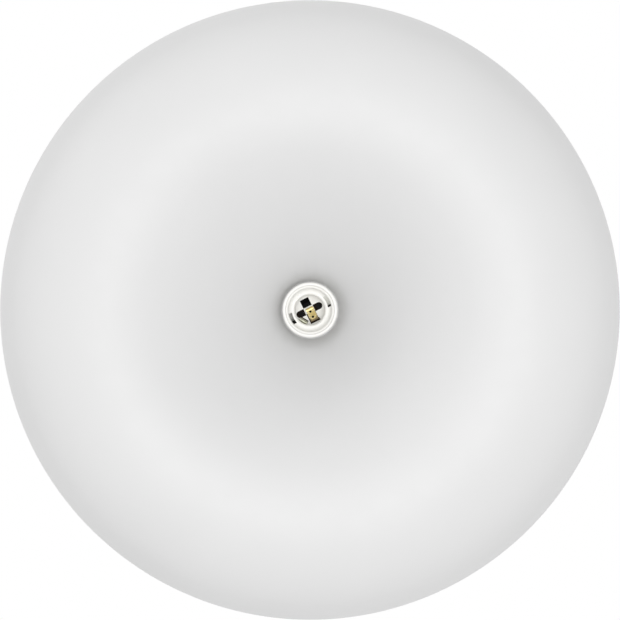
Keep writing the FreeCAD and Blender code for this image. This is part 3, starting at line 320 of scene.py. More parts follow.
def window_cutter():
    """Return a prism through the shelf for each of the two windows."""
    points = []
    faces = []
    for side in (0.0, math.pi):
        outer_lean = math.asin(WINDOW_HALF / WINDOW_OUTER)
        inner_lean = math.asin(WINDOW_HALF / WINDOW_INNER)
        rim = arc_points((0, 0), WINDOW_OUTER, side - outer_lean, side + outer_lean, WINDOW_STEPS)
        rim += arc_points((0, 0), WINDOW_INNER, side + inner_lean, side - inner_lean, WINDOW_STEPS)
        start = len(points)
        count = len(rim)
        for level in (CUTTER_LOW, CUTTER_HIGH):
            points += [(x, y, level) for x, y in rim]
        faces.append(tuple(range(start + count - 1, start - 1, -1)))
        faces.append(tuple(range(start + count, start + 2 * count)))
        for index in range(count):
            following = (index + 1) % count
            faces.append((start + index, start + following, start + count + following, start + count + index))
    return outward(add_piece("window_cutter", points, faces))


def cut_away(piece, cutter):
    """Cut one closed mesh from another and keep the result as the piece's own mesh."""
    modifier = piece.modifiers.new("cut", "BOOLEAN")
    modifier.operation = "DIFFERENCE"
    modifier.solver = "EXACT"
    modifier.object = cutter
    bpy.context.view_layer.update()
    graph = bpy.context.evaluated_depsgraph_get()
    result = bpy.data.meshes.new_from_object(piece.evaluated_get(graph))
    piece.modifiers.clear()
    piece.data = result
    bpy.data.objects.remove(cutter)


SHARP_ANGLE = 35


def sharpened(piece, degrees=SHARP_ANGLE):
    """Shade smooth, with hard edges where faces meet at more than some degrees."""
    mesh = piece.data
    mesh.polygons.foreach_set("use_smooth", [True] * len(mesh.polygons))
    mesh.set_sharp_from_angle(angle=math.radians(degrees))


before = len(skirt.data.polygons)
cut_away(skirt, window_cutter())
skirt.data.transform(Matrix.Rotation(HOLDER_TURN, 4, "Z"))
sharpened(skirt)
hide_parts("holder_skirt")
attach(skirt, "fixed")
print("windows cut:", before, "faces became", len(skirt.data.polygons))

# %% [markdown]
# Behind each window lies a ramp that falls away along it, deeper on the left side. The ramps take the duller
# grey moulding as painted shade in the windows. A black block stands at each deep end, a painted shadow in
# place of the shade there. Together they give the windows their shadow, darkest at one end.

# %% Window ramps and painted shadow blocks
RIGHT_DEPTHS = (0.4 * MM, 5.0 * MM)
LEFT_DEPTHS = (8.0 * MM, 11.2 * MM)
RAMP_LOW = -4.8 * MM
RIGHT_SHADOW_LOW = 3.0 * MM
LEFT_SHADOW_LOW = 1.7 * MM
SHADOW_HIGH = 4.7 * MM
SHADOW_DEPTH = 4.0 * MM
RAMP_BACK = -48.5 * MM
RAMP_STEPS = 16
WALL_SINK = 0.1 * MM


def mouth_level(radius):
    """Return the height of the mouth's hollow round at a radius."""
    across = radius - mouth_centre[0]
    return mouth_centre[1] + math.sqrt(MOUTH_ROUND ** 2 - across ** 2)


def window_filling(name, side, low, high, near_depth, far_depth):
    """Return a block that fills part of a window behind its face; side is 1 or -1."""
    points = []
    for step in range(RAMP_STEPS + 1):
        share = step / RAMP_STEPS
        along = low + (high - low) * share
        depth = near_depth + (far_depth - near_depth) * share
        for radius in (WINDOW_INNER - WALL_SINK, WINDOW_OUTER + WALL_SINK):
            across = side * math.sqrt(radius ** 2 - along ** 2)
            points.append((across, along, mouth_level(radius) + depth))
            points.append((across, along, RAMP_BACK))
    faces = []
    for step in range(RAMP_STEPS):
        start = step * 4
        for first, second in ((0, 2), (2, 3), (3, 1), (1, 0)):
            faces.append((start + first, start + second, start + 4 + second, start + 4 + first))
    last = RAMP_STEPS * 4
    faces += [(0, 1, 3, 2), (last, last + 2, last + 3, last + 1)]
    filling = outward(add_piece(name, points, faces))
    filling.data.transform(Matrix.Rotation(HOLDER_TURN, 4, "Z"))
    sharpened(filling)
    return filling


ramps = [window_filling("window_ramp_right", 1, RAMP_LOW, RIGHT_SHADOW_LOW, *RIGHT_DEPTHS),
         window_filling("window_ramp_left", -1, RAMP_LOW, LEFT_SHADOW_LOW, *LEFT_DEPTHS)]
for ramp in ramps:
    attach(ramp, "fixed")
# These black blocks at the windows' deep ends are painted shadow.
shadow_blocks = [window_filling("shadow_block_right", 1, RIGHT_SHADOW_LOW, SHADOW_HIGH, SHADOW_DEPTH, SHADOW_DEPTH),
         window_filling("shadow_block_left", -1, LEFT_SHADOW_LOW, SHADOW_HIGH, SHADOW_DEPTH, SHADOW_DEPTH)]
print("window ramps:", len(ramps), "hooks:", len(shadow_blocks))

# %% [markdown]
# ## The sprung contact
# The lamp's foot presses on a tongue of thin brass. It was stamped from strip with two holes and bent over a
# former, so its corners are round and its bends are soft. A flat blank with its holes is cut first and then
# bent point by point, as the press does.

# %% Contact blank
LEAF_HALF = 3.35 * MM
LEAF_TIP = -2.2 * MM
LEAF_ROOT = 9.2 * MM
LEAF_SHEET = 0.5 * MM
LEAF_ROUND = 0.8 * MM
LEAF_HOLE = 1.0 * MM
LEAF_HOLE_X = -0.3 * MM
LEAF_HOLES_Y = (1.3 * MM, 6.1 * MM)
LEAF_UNDER = -45.7 * MM
RIM_SPACING = 0.25 * MM


def rounded_blank():
    """Return the outline of the tongue, round at its free end."""
    rim = arc_points((LEAF_HALF - LEAF_ROUND, LEAF_TIP + LEAF_ROUND), LEAF_ROUND, -math.pi / 2, 0, 8)
    rim += [(LEAF_HALF, LEAF_ROOT), (-LEAF_HALF, LEAF_ROOT)]
    rim += arc_points((LEAF_ROUND - LEAF_HALF, LEAF_TIP + LEAF_ROUND), LEAF_ROUND, math.pi, 1.5 * math.pi, 8)
    return rim


def evened(points, spacing):
    """Add points to the straight runs of an outline, at most spacing apart."""
    result = []
    for index, (x, y) in enumerate(points):
        next_x, next_y = points[(index + 1) % len(points)]
        parts = max(1, math.ceil(math.dist((x, y), (next_x, next_y)) / spacing))
        for step in range(parts):
            share = step / parts
            result.append((x + (next_x - x) * share, y + (next_y - y) * share))
    return result


print("blank:", len(evened(rounded_blank(), RIM_SPACING)), "points round its rim")

# %% Contact bends
# The tongue hangs this far below its root: a place along it, then the drop there.
LEAF_CORNERS = ((LEAF_TIP, 2.1 * MM), (-0.6 * MM, 3.0 * MM), (7.2 * MM, 0.0), (LEAF_ROOT, 0.0))
BEND_REACH = 0.8 * MM
BEND_STEPS = 6


def straight_drop(along):
    """Return how far the tongue hangs below its root, with sharp bends."""
    for (start, high), (end, low) in zip(LEAF_CORNERS, LEAF_CORNERS[1:]):
        if along <= end:
            share = (max(along, start) - start) / (end - start)
            return high + (low - high) * share
    return 0.0


def leaf_drop(along):
    """Return the drop with soft bends: the mean over a short length of the tongue."""
    places = [along + BEND_REACH * step / BEND_STEPS for step in range(-BEND_STEPS, BEND_STEPS + 1)]
    return sum(straight_drop(place) for place in places) / len(places)


print("tongue: its tip hangs", round(leaf_drop(LEAF_TIP) / MM, 2), "mm below its root")

# %% Contact mesh
LEAF_ROWS = 44
HOLE_STEPS = 40
WORN_EDGE = 0.09 * MM
LEAF_SHARP_ANGLE = 40


def make_leaf():
    """Stamp the blank with its holes, divide it finely and bend it."""
    work = bmesh.new()
    rim = evened(rounded_blank(), RIM_SPACING)
    loops = [rim]
    for hole_y in LEAF_HOLES_Y:
        hole = arc_points((LEAF_HOLE_X, hole_y), LEAF_HOLE, 0, TURN, HOLE_STEPS)
        loops.append(hole[:-1])
    edges = []
    for loop in loops:
        verts = [work.verts.new((x, y, 0)) for x, y in loop]
        edges += [work.edges.new((verts[index - 1], verts[index])) for index in range(len(verts))]
    bmesh.ops.triangle_fill(work, use_beauty=True, use_dissolve=False, edges=edges)
    for row in range(1, LEAF_ROWS):
        level = LEAF_TIP + (LEAF_ROOT - LEAF_TIP) * row / LEAF_ROWS
        geometry = work.verts[:] + work.edges[:] + work.faces[:]
        bmesh.ops.bisect_plane(work, geom=geometry, plane_co=(0, level, 0), plane_no=(0, 1, 0))
    mesh = bpy.data.meshes.new("contact_leaf")
    work.to_mesh(mesh)
    work.free()
    leaf = bpy.data.objects.new("contact_leaf", mesh)
    scene.collection.objects.link(leaf)
    thick = leaf.modifiers.new("sheet", "SOLIDIFY")
    thick.thickness = LEAF_SHEET
    thick.offset = 0
    worn = leaf.modifiers.new("worn edge", "BEVEL")
    worn.width = WORN_EDGE
    worn.segments = 2
    worn.limit_method = "ANGLE"
    bpy.context.view_layer.update()
    graph = bpy.context.evaluated_depsgraph_get()
    leaf.data = bpy.data.meshes.new_from_object(leaf.evaluated_get(graph))
    leaf.modifiers.clear()
    for vertex in leaf.data.vertices:
        vertex.co.z += LEAF_UNDER + LEAF_SHEET / 2 - leaf_drop(vertex.co.y)
    return leaf


leaf = make_leaf()
leaf.data.transform(Matrix.Rotation(HOLDER_TURN, 4, "Z"))
sharpened(leaf, LEAF_SHARP_ANGLE)
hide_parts("centre_contact")
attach(leaf, "centre_leaf")
print("contact:", len(leaf.data.polygons), "faces")

# %% [markdown]
# ### Small black pieces behind it, painted shade
# Two blind bores lie behind the holes of the tongue, with a black drop at the bottom of each, a painted
# shadow so the holes look dark. A thin dark pad under the tongue is its painted shadow. Where the wires come
# out of the hollow stem into the cap, a rubber gland keeps them from chafing and closes the stem; it is black
# as painted shade, so the opening in front of it looks dark. Each hole is drilled with a Boolean, by a round
# cutter that stands out at both faces.

# %% Shadow drops in the bores
AXIS_GAP = 0.02 * MM
SMALL_SEGMENTS = 32
DROP_RADIUS = 1.3 * MM
DROP_HEIGHT = 1.2 * MM
DROP_STEPS = 10
BORE_BOTTOM = -41.45 * MM


def shadow_drop(name, hole_y):
    """Return one domed black drop at the bottom of a bore, a painted shadow in it."""
    outline = [(AXIS_GAP, BORE_BOTTOM)]
    for step in range(DROP_STEPS):
        lean = step * math.pi / (2 * DROP_STEPS)
        outline.append((DROP_RADIUS * math.cos(lean), BORE_BOTTOM - DROP_HEIGHT * math.sin(lean)))
    outline.append((AXIS_GAP, BORE_BOTTOM - DROP_HEIGHT))
    drop = carried_round(name, outline, SMALL_SEGMENTS)
    drop.data.transform(Matrix.Translation((LEAF_HOLE_X, hole_y, 0)))
    drop.data.transform(Matrix.Rotation(HOLDER_TURN, 4, "Z"))
    return outward(drop)


# The black drops are painted shadow in the bores.
drops = [shadow_drop(f"shadow_drop_{index}", hole_y) for index, hole_y in enumerate(LEAF_HOLES_Y, 1)]
print("sealing drops:", len(drops))

# %% Shadow pad under the tongue
PAD_CORNERS = ((-4.2 * MM, 1.9 * MM), (3.5 * MM, 8.1 * MM))
PAD_FACE = -44.6 * MM
PAD_BACK = -44.42 * MM
DRILL_PAST = 1 * MM


def drill_hole(piece, radius, low, high, x, y):
    """Cut a round hole at a place through a piece that lies between two levels."""
    outline = [(AXIS_GAP, low - DRILL_PAST), (radius, low - DRILL_PAST),
               (radius, high + DRILL_PAST), (AXIS_GAP, high + DRILL_PAST)]
    drill = outward(carried_round("drill", outline, SMALL_SEGMENTS))
    drill.data.transform(Matrix.Translation((x, y, 0)))
    cut_away(piece, drill)


def shadow_pad():
    """Return the thin dark pad under the tongue, a painted shadow of the tongue."""
    (left, low), (right, high) = PAD_CORNERS
    points = []
    for level in (PAD_FACE, PAD_BACK):
        points += [(left, low, level), (right, low, level), (right, high, level), (left, high, level)]
    faces = [(0, 1, 2, 3), (7, 6, 5, 4)] + [(i, i + 4, (i + 1) % 4 + 4, (i + 1) % 4) for i in range(4)]
    pad = outward(add_piece("shadow_pad", points, faces, False))
    drill_hole(pad, DROP_RADIUS, PAD_FACE, PAD_BACK, LEAF_HOLE_X, LEAF_HOLES_Y[1])
    pad.data.transform(Matrix.Rotation(HOLDER_TURN, 4, "Z"))
    return pad


# The dark pad is a painted shadow of the tongue.
pad = shadow_pad()
print("pad:", len(pad.data.polygons), "faces")

# %% Stem gland
GLAND_RADIUS = 6.9 * MM
GLAND_FOOT = -24.4 * MM
GLAND_TOP = -23.35 * MM
GLAND_ROUND = 0.4 * MM
GLAND_SEGMENTS = 64
GLAND_HOLE = 1.5 * MM
GLAND_HOLE_X = 1.8 * MM
GLAND_HOLE_Y = -0.9 * MM


def stem_gland():
    """Return the black rubber disc at the stem's foot with its two wire holes; it closes the stem, and its
    black is painted shade.
    """
    centre = (GLAND_RADIUS - GLAND_ROUND, GLAND_FOOT + GLAND_ROUND)
    foot = arc_points(centre, GLAND_ROUND, 1.5 * math.pi, TURN, 6)
    outline = [(AXIS_GAP, GLAND_FOOT)] + foot + [(GLAND_RADIUS, GLAND_TOP), (AXIS_GAP, GLAND_TOP)]
    disc = outward(carried_round("stem_gland", outline, GLAND_SEGMENTS))
    for side in (1, -1):
        drill_hole(disc, GLAND_HOLE, GLAND_FOOT, GLAND_TOP, GLAND_HOLE_X * side, GLAND_HOLE_Y * side)
    sharpened(disc)
    return disc


# The gland closes the stem, and it is black as painted shade seen through the holder's floor.
gland = stem_gland()
print("gland:", len(gland.data.polygons), "faces")

# %% Place the small black pieces
# The black blocks and drops are painted shade; the black gland is painted shade that also closes the stem.
black_pieces = shadow_blocks + drops + [gland]
for piece in black_pieces:
    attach(piece, "fixed")
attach(pad, "fixed")
print("black pieces:", sorted(piece.name for piece in black_pieces))

# %% [markdown]
# ## Finishes
# Every finish is a Principled shader fed by object-space noise, so it needs no image and no unwrapping. Each
# has three layers: a slow change of colour, a change of roughness, and a small bump at the grain size of the
# real surface. A few helpers add those layers, and each finish then adds what is special to it.

# %% Material helpers
def new_finish(name, colour, roughness, metallic=0.0):
    """Start a material and return it with its shader and its object coordinates."""
    material = bpy.data.materials.new(name)
    material.use_nodes = True
    tree = material.node_tree
    shader = tree.nodes["Principled BSDF"]
    shader.inputs["Base Color"].default_value = (*colour, 1)
    shader.inputs["Roughness"].default_value = roughness
    shader.inputs["Metallic"].default_value = metallic
    place = tree.nodes.new("ShaderNodeTexCoord")
    return material, tree, shader, place.outputs["Object"]


def stretched(tree, coordinates, scale):
    """Scale the coordinates of a texture along each axis."""
    mapping = tree.nodes.new("ShaderNodeMapping")
    mapping.inputs["Scale"].default_value = scale
    tree.links.new(coordinates, mapping.inputs["Vector"])
    return mapping.outputs["Vector"]


GRAIN_DETAIL = 3.0
GRAIN_ROUGHNESS = 0.55


def grain(tree, coordinates, size, detail=GRAIN_DETAIL):
    """Return noise with a grain of some size in metres."""
    noise = tree.nodes.new("ShaderNodeTexNoise")
    noise.inputs["Scale"].default_value = 1 / size
    noise.inputs["Detail"].default_value = detail
    noise.inputs["Roughness"].default_value = GRAIN_ROUGHNESS
    tree.links.new(coordinates, noise.inputs["Vector"])
    return noise.outputs["Fac"]


def spread(tree, value, low, high, from_low=0.3, from_high=0.7):
    """Map a 0 to 1 value to a narrow band."""
    band = tree.nodes.new("ShaderNodeMapRange")
    band.inputs["From Min"].default_value = from_low
    band.inputs["From Max"].default_value = from_high
    band.inputs["To Min"].default_value = low
    band.inputs["To Max"].default_value = high
    tree.links.new(value, band.inputs["Value"])
    return band.outputs["Result"]


def blended(tree, share, first, second):
    """Mix two colours by a share. Either colour may be a socket."""
    mix = tree.nodes.new("ShaderNodeMix")
    mix.data_type = "RGBA"
    tree.links.new(share, mix.inputs[0])
    for socket, colour in ((mix.inputs[6], first), (mix.inputs[7], second)):
        if isinstance(colour, tuple):
            socket.default_value = (*colour, 1)
        else:
            tree.links.new(colour, socket)
    return mix.outputs[2]


# Each bump layer has the size of its grain in metres, its detail, its height in metres and its strength.
def rippled(tree, shader, coordinates, layer, under=None):
    """Add a bump layer of fine noise, over another bump if one is given."""
    size, detail, height, strength = layer
    noise = grain(tree, coordinates, size, detail)
    bump = tree.nodes.new("ShaderNodeBump")
    bump.inputs["Distance"].default_value = height
    bump.inputs["Strength"].default_value = strength
    tree.links.new(noise, bump.inputs["Height"])
    if under:
        tree.links.new(under, bump.inputs["Normal"])
    tree.links.new(bump.outputs["Normal"], shader.inputs["Normal"])
    return bump.outputs["Normal"]


def edge_share(tree, low, high):
    """Return how sharp an edge the surface is at, from its pointiness."""
    geometry = tree.nodes.new("ShaderNodeNewGeometry")
    return spread(tree, geometry.outputs["Pointiness"], 0.0, 1.0, low, high)


FINE_SHARE = 6
FINE_DETAIL = 4.0


def aged(tree, shader, coordinates, colour, darker, size, rough_low, rough_high):
    """Give a finish its slow change of colour and of roughness."""
    patches = grain(tree, coordinates, size)
    share = spread(tree, patches, 0.0, 1.0)
    tree.links.new(blended(tree, share, colour, darker), shader.inputs["Base Color"])
    fine = grain(tree, coordinates, size / FINE_SHARE, FINE_DETAIL)
    tree.links.new(spread(tree, fine, rough_low, rough_high), shader.inputs["Roughness"])
    return share


def shade_of(colour, share):
    """Return a colour made darker or lighter by a share."""
    return tuple(min(1.0, part * share) for part in colour)


# %% [markdown]
# ### Powder coat
# The shade is sprayed with white powder and baked. The coat flows into a surface that is smooth but not flat:
# a soft orange-peel ripple about a millimetre and a half wide, with a much finer grain over it. Under it the
# spinning tool's rings can just be felt. The coat is half matt, and a little dust greys it in slow patches.

# %% Powder coat
def radius_of(tree, coordinates):
    """Return the distance from the Z axis."""
    parts = tree.nodes.new("ShaderNodeSeparateXYZ")
    tree.links.new(coordinates, parts.inputs[0])
    squares = []
    for axis in ("X", "Y"):
        square = tree.nodes.new("ShaderNodeMath")
        square.operation = "MULTIPLY"
        tree.links.new(parts.outputs[axis], square.inputs[0])
        tree.links.new(parts.outputs[axis], square.inputs[1])
        squares.append(square.outputs[0])
    total = tree.nodes.new("ShaderNodeMath")
    total.operation = "ADD"
    tree.links.new(squares[0], total.inputs[0])
    tree.links.new(squares[1], total.inputs[1])
    root = tree.nodes.new("ShaderNodeMath")
    root.operation = "SQRT"
    tree.links.new(total.outputs[0], root.inputs[0])
    return root.outputs[0]


COAT_ROUGHNESS = 0.56
COAT_SPREAD = (0.52, 0.6)
COAT_SHINE = 0.45
COAT_DUST = 0.985
DUST_SIZE = 0.09
ORANGE_PEEL = (0.0016, 2.0, 0.00004, 0.35)
COAT_GRAIN = (0.00035, 2.0, 0.00001, 0.3)
SPUN_RINGS = (0.0022, 2.0, 0.00003, 0.12)


def powder_coat(name, colour, rings):
    """White powder coat, over spun metal if rings is set."""
    material, tree, shader, place = new_finish(name, colour, COAT_ROUGHNESS)
    aged(tree, shader, place, colour, shade_of(colour, COAT_DUST), DUST_SIZE, *COAT_SPREAD)
    normal = rippled(tree, shader, place, ORANGE_PEEL)
    normal = rippled(tree, shader, place, COAT_GRAIN, normal)
    if rings:
        joined = tree.nodes.new("ShaderNodeCombineXYZ")
        tree.links.new(radius_of(tree, place), joined.inputs[0])
        rippled(tree, shader, joined.outputs[0], SPUN_RINGS, normal)
    shader.inputs["Specular IOR Level"].default_value = COAT_SHINE
    return material


WHITE = (0.76, 0.76, 0.76)
PLATE_SHARE = 0.97
finishes = {"shade_paint": powder_coat("shade_paint", WHITE, True),
            "plate_paint": powder_coat("plate_paint", shade_of(WHITE, PLATE_SHARE), False)}
print("powder coats:", sorted(finishes))

# %% [markdown]
# ### Mouldings
# The holder is a hard white moulding with a soft gloss, a trace of flow lines and a faint warm tone. The
# terminal block is duller. The bush is rubber, and the wires have a soft sleeve.

# %% Mouldings
MOULDING_PATCH = 0.011
MOULDING_STAIN = 0.965
SMOOTHER = 0.85
ROUGHER = 1.2
FLOW_STRETCH = (1, 1, 0.25)
FLOW_LINES = (0.004, 2.0, 0.00002, 0.4)
SKIN_DETAIL = 3.0
SKIN_STRENGTH = 0.35
COAT_SMOOTHNESS = 0.12
# Each row: colour, roughness, gloss coat, size and height of the skin's grain in metres, shine.
MOULDINGS = {"white_moulding": ((0.925, 0.917, 0.885), 0.38, 0.12, 0.0005, 0.000008, 0.28),
             # The black moulding is painted shade: the rear cap seen through the holder's openings, and the
             # small black pieces.
             "black_moulding": ((0.012, 0.0115, 0.011), 0.5, 0.0, 0.0005, 0.00001, 0.1),
             # The duller block moulding also greys the window ramps, as painted shade in the windows.
             "block_moulding": ((0.8, 0.8, 0.76), 0.48, 0.0, 0.0006, 0.00002, 0.5),
             "bush_rubber": ((0.045, 0.045, 0.047), 0.72, 0.0, 0.0004, 0.00003, 0.5),
             "brown_wire": ((0.16, 0.065, 0.03), 0.42, 0.1, 0.0006, 0.00001, 0.5),
             "blue_wire": ((0.03, 0.13, 0.42), 0.42, 0.1, 0.0006, 0.00001, 0.5)}


def moulding(name, colour, roughness, gloss_coat, grain_size, depth, shine):
    """Moulded plastic with flow marks and a fine skin."""
    material, tree, shader, place = new_finish(name, colour, roughness)
    stained = shade_of(colour, MOULDING_STAIN)
    aged(tree, shader, place, colour, stained, MOULDING_PATCH, roughness * SMOOTHER, roughness * ROUGHER)
    normal = rippled(tree, shader, stretched(tree, place, FLOW_STRETCH), FLOW_LINES)
    rippled(tree, shader, place, (grain_size, SKIN_DETAIL, depth, SKIN_STRENGTH), normal)
    shader.inputs["Specular IOR Level"].default_value = shine
    shader.inputs["Coat Weight"].default_value = gloss_coat
    shader.inputs["Coat Roughness"].default_value = COAT_SMOOTHNESS
    return material


for name, row in MOULDINGS.items():
    finishes[name] = moulding(name, *row)
print("mouldings:", sorted(MOULDINGS))

# %% [markdown]
# ### The earth wire
# Its sleeve is extruded from two colours side by side, so the yellow stripe lies along the wire. The wire
# runs from the block across the plate, and the way that the sleeve's surface faces gives the two colours on
# its two sides.

# %% Two-colour sleeve
SLEEVE_GREEN = (0.05, 0.26, 0.06)
SLEEVE_YELLOW = (0.75, 0.62, 0.05)
STRIPE_BLUR = 0.06
SLEEVE_PATCH = 0.002
SLEEVE_WEAR = 0.15
SLEEVE_STAIN = 0.6
SLEEVE_ROUGHNESS = 0.42
SLEEVE_SPREAD = (0.36, 0.5)
SLEEVE_SKIN = (0.0006, 3.0, 0.00001, 0.35)


def striped_sleeve(name, green, yellow):
    """Sleeve whose colour changes from one side of the wire to the other."""
    material, tree, shader, place = new_finish(name, green, SLEEVE_ROUGHNESS)
    surface = tree.nodes.new("ShaderNodeNewGeometry")
    split = tree.nodes.new("ShaderNodeSeparateXYZ")
    tree.links.new(surface.outputs["Normal"], split.inputs[0])
    share = spread(tree, split.outputs["X"], 0.0, 1.0, -STRIPE_BLUR, STRIPE_BLUR)
    fine = grain(tree, place, SLEEVE_PATCH)
    worn = spread(tree, fine, 0.0, SLEEVE_WEAR)
    stripe = blended(tree, share, green, yellow)
    stained = blended(tree, worn, stripe, shade_of(yellow, SLEEVE_STAIN))
    tree.links.new(stained, shader.inputs["Base Color"])
    tree.links.new(spread(tree, fine, *SLEEVE_SPREAD), shader.inputs["Roughness"])
    rippled(tree, shader, place, SLEEVE_SKIN)
    return material


finishes["green_yellow_wire"] = striped_sleeve("green_yellow_wire", SLEEVE_GREEN, SLEEVE_YELLOW)
print("sleeve:", finishes["green_yellow_wire"].name)

# %% [markdown]
# ### Metals
# Rolled brass and plated steel have fine drawn lines along the strip, stains where fingers touched them and
# brighter edges where the plating has rubbed. Zinc plating is duller and a little blotchy. The small screws
# and clamps in the holder are painted near black, as painted shade deep inside the holder. The brass tongue
# is painted darker and browner towards its root.

# %% Metals
DRAWN_LINES = (0.0016, 3.0, 0.00002, 0.5)
PITS = (0.0007, 2.0, 0.00001, 0.4)
EDGE_BAND = (0.52, 0.6)
POLISHED = 0.8
TARNISHED = 1.3
# Each row: colour, stain, roughness, stretch of the drawn lines, rubbed edge, size of the stains in metres.
METALS = {"brass_strip": ((0.79, 0.655, 0.31), (0.68, 0.535, 0.22), 0.42, (9, 1, 9),
                          (0.93, 0.84, 0.5), 0.004),
          "nickel_strip": ((0.77, 0.78, 0.65), (0.62, 0.63, 0.525), 0.55, (1, 9, 1), None, 0.006),
          "zinc_steel": ((0.64, 0.65, 0.66), (0.5, 0.51, 0.5), 0.42, (4, 4, 1), (0.8, 0.8, 0.8), 0.008),
          # The two dark rows are painted near black, as painted shade for the screws and clamps deep inside
          # the holder.
          "dark_screws": ((0.0035, 0.0035, 0.0036), (0.0022, 0.0022, 0.0022), 0.5, (3, 3, 3),
                          (0.008, 0.008, 0.008), 0.003),
          "dark_clamps": ((0.007, 0.0048, 0.0034), (0.0045, 0.0034, 0.0026), 0.55, (3, 3, 3),
                          (0.02, 0.014, 0.009), 0.003),
          "brass_screw": ((0.76, 0.6, 0.3), (0.55, 0.38, 0.18), 0.33, (3, 3, 12), (0.92, 0.78, 0.46), 0.004),
          "tinned_lug": ((0.72, 0.72, 0.7), (0.55, 0.5, 0.44), 0.36, (3, 9, 3), (0.82, 0.7, 0.55), 0.005)}


def metal(name, colour, stain, roughness, drawn, edge_colour, patch):
    """Metal with drawn lines, stains and, if a colour is given for them, rubbed edges."""
    material, tree, shader, place = new_finish(name, colour, roughness, 1.0)
    share = aged(tree, shader, place, colour, stain, patch, roughness * POLISHED, roughness * TARNISHED)
    if edge_colour:
        base = blended(tree, share, colour, stain)
        rubbed = blended(tree, edge_share(tree, *EDGE_BAND), base, edge_colour)
        tree.links.new(rubbed, shader.inputs["Base Color"])
    normal = rippled(tree, shader, stretched(tree, place, drawn), DRAWN_LINES)
    rippled(tree, shader, place, PITS, normal)
    return material


for name, row in METALS.items():
    finishes[name] = metal(name, *row)
print("metals:", sorted(METALS))

# %% Darkened root
ROOT_BRIGHT = 6.6 * MM
ROOT_DARK = 7.9 * MM
ROOT_BROWN = (0.085, 0.066, 0.038)


def darkened_root(material):
    """Make the brass darker and browner towards its root, between two distances from the axis."""
    tree = material.node_tree
    shader = tree.nodes["Principled BSDF"]
    place = tree.nodes.new("ShaderNodeTexCoord")
    share = spread(tree, radius_of(tree, place.outputs["Object"]), 0.0, 1.0, ROOT_BRIGHT, ROOT_DARK)
    bright = shader.inputs["Base Color"].links[0].from_socket
    tree.links.new(blended(tree, share, bright, ROOT_BROWN), shader.inputs["Base Color"])


# The tongue is painted darker and browner towards its root.
darkened_root(finishes["brass_strip"])
print("all finishes:", sorted(finishes))

# %% [markdown]
# ## Give every piece its finish
# The record says which slot each CAD node takes. The same table serves the finer meshes made above.

# %% Assign finishes
def dress(piece, finish):
    """Put one finish on a piece."""
    piece.data.materials.clear()
    piece.data.materials.append(finish)


for entry in frame["record"]["subparts"]:
    dress(nodes[entry["node"]], finishes[entry["material_slot"]])
# The pad under the tongue takes the dark clamp finish as its painted shadow.
made = [(shade, "shade_paint"), (skirt, "white_moulding"), (leaf, "brass_strip"), (pad, "dark_clamps")]
# The ramps take the duller grey moulding as painted shade in the windows.
made += [(ramp, "block_moulding") for ramp in ramps]
# The black moulding on these pieces is painted shade.
made += [(piece, "black_moulding") for piece in black_pieces]
for piece, slot in made:
    dress(piece, finishes[slot])

# %% [markdown]
# ## Room, light and camera
# The photograph looks straight up at the light from some way below. A wide soft lamp beside the camera lights
# the face of the shade, a lamp at the side makes one half of the funnel a little lighter than the other, and
# the pale room round it lights the flank and lets the funnel fall off gently. The background is plain white,
# which the world shows to the camera at strength 1. The floor is pale for the camera too, but it sends less
# light up than a white one would.

# %% World
WORLD_STRENGTH = 1.02
SHOWN_STRENGTH = 1.0


def seen_rays(tree):
    """Return 1 for camera, glossy and transmission rays."""
    path = tree.nodes.new("ShaderNodeLightPath")
    total = path.outputs["Is Camera Ray"]
    for kind in ("Is Glossy Ray", "Is Transmission Ray"):
        add = tree.nodes.new("ShaderNodeMath")
        add.operation = "MAXIMUM"
        tree.links.new(total, add.inputs[0])
        tree.links.new(path.outputs[kind], add.inputs[1])
        total = add.outputs[0]
    return total


def shown_apart(tree, output, lighting, shown):
    """Give the rays that see a surface another shader than the rays that light the object."""
    choose = tree.nodes.new("ShaderNodeMixShader")
    tree.links.new(seen_rays(tree), choose.inputs["Fac"])
    tree.links.new(lighting.outputs[0], choose.inputs[1])
    tree.links.new(shown.outputs[0], choose.inputs[2])
    tree.links.new(choose.outputs[0], output.inputs["Surface"])


world = bpy.data.worlds.new("pale room")
scene.world = world
world.use_nodes = True
tree = world.node_tree
tree.nodes.clear()
lighting = tree.nodes.new("ShaderNodeBackground")
lighting.inputs["Strength"].default_value = WORLD_STRENGTH
lighting.inputs["Color"].default_value = (1, 1, 1, 1)
shown = tree.nodes.new("ShaderNodeBackground")
shown.inputs["Strength"].default_value = SHOWN_STRENGTH
shown.inputs["Color"].default_value = (1, 1, 1, 1)
shown_apart(tree, tree.nodes.new("ShaderNodeOutputWorld"), lighting, shown)
print("world:", WORLD_STRENGTH, "for light and", SHOWN_STRENGTH, "for the camera")

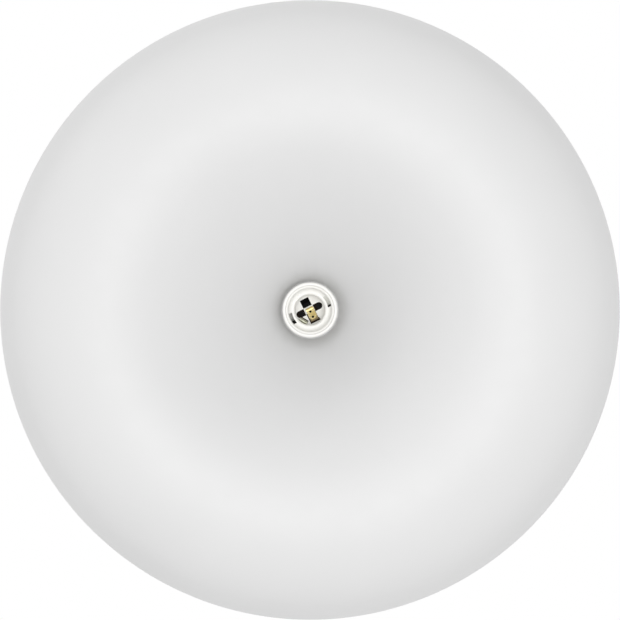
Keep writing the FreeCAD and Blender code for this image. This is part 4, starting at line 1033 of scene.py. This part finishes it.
# %% Floor
FLOOR_LEVEL = -2.5
FLOOR_HALF = 16.0
FLOOR_DULL = (0.5, 0.5, 0.5, 1)
FLOOR_PALE = (0.9, 0.9, 0.9, 1)
corners = [(-FLOOR_HALF, -FLOOR_HALF, FLOOR_LEVEL), (FLOOR_HALF, -FLOOR_HALF, FLOOR_LEVEL),
           (FLOOR_HALF, FLOOR_HALF, FLOOR_LEVEL), (-FLOOR_HALF, FLOOR_HALF, FLOOR_LEVEL)]
floor = add_piece("floor", corners, [(0, 1, 2, 3)])
paint = bpy.data.materials.new("floor_paint")
paint.use_nodes = True
tree = paint.node_tree
tree.nodes.clear()
dull = tree.nodes.new("ShaderNodeBsdfDiffuse")
dull.inputs["Color"].default_value = FLOOR_DULL
pale = tree.nodes.new("ShaderNodeBsdfDiffuse")
pale.inputs["Color"].default_value = FLOOR_PALE
shown_apart(tree, tree.nodes.new("ShaderNodeOutputMaterial"), dull, pale)
floor.data.materials.append(paint)
print("floor:", 2 * FLOOR_HALF, "m across at", FLOOR_LEVEL, "m")

# %% Lamps
LAMP_AIM = (0, 0, -0.1)
LAMP_SIZE = 1.2
FRONT_PLACE = (0.12, 0.1, -2.2)
FRONT_POWER = 23.7
SIDE_PLACE = (-2.6, -2.1, -0.75)
SIDE_POWER = 10.5


def soft_lamp(name, place, power):
    """Add a round area lamp that points at the shade."""
    lamp = bpy.data.lights.new(name, "AREA")
    lamp.shape = "DISK"
    lamp.size = LAMP_SIZE
    lamp.energy = power
    holder = bpy.data.objects.new(name, lamp)
    holder.location = place
    holder.rotation_euler = (Vector(LAMP_AIM) - Vector(place)).to_track_quat("-Z", "Y").to_euler()
    scene.collection.objects.link(holder)


soft_lamp("front_lamp", FRONT_PLACE, FRONT_POWER)
soft_lamp("side_lamp", SIDE_PLACE, SIDE_POWER)
print("lamps:", FRONT_POWER, "W in front and", SIDE_POWER, "W at the side")

# %% [markdown]
# The camera stands on the axis and looks up. Its frame is as wide as the shade's outline, as in the
# photograph. Image right is +X and image up is -Y. Half of the frame and half of the outline are in pixels.

# %% Camera
CAMERA_DISTANCE = 2.4
SENSOR_WIDTH = 36.0
HALF_FRAME = 310.0
HALF_OUTLINE = 309.77
camera = bpy.data.cameras.new("camera")
eye = bpy.data.objects.new("camera", camera)
scene.collection.objects.link(eye)
eye.matrix_world = Matrix(((1, 0, 0, 0), (0, -1, 0, 0), (0, 0, -1, -CAMERA_DISTANCE), (0, 0, 0, 1)))
widest = max(radius / (CAMERA_DISTANCE + height) for radius, height in section)
frame_share = HALF_FRAME / HALF_OUTLINE
camera.sensor_width = SENSOR_WIDTH
camera.lens = SENSOR_WIDTH / (2 * widest * frame_share)
scene.camera = eye
scene.view_settings.view_transform = "Standard"
print("lens", round(camera.lens, 1), "mm")
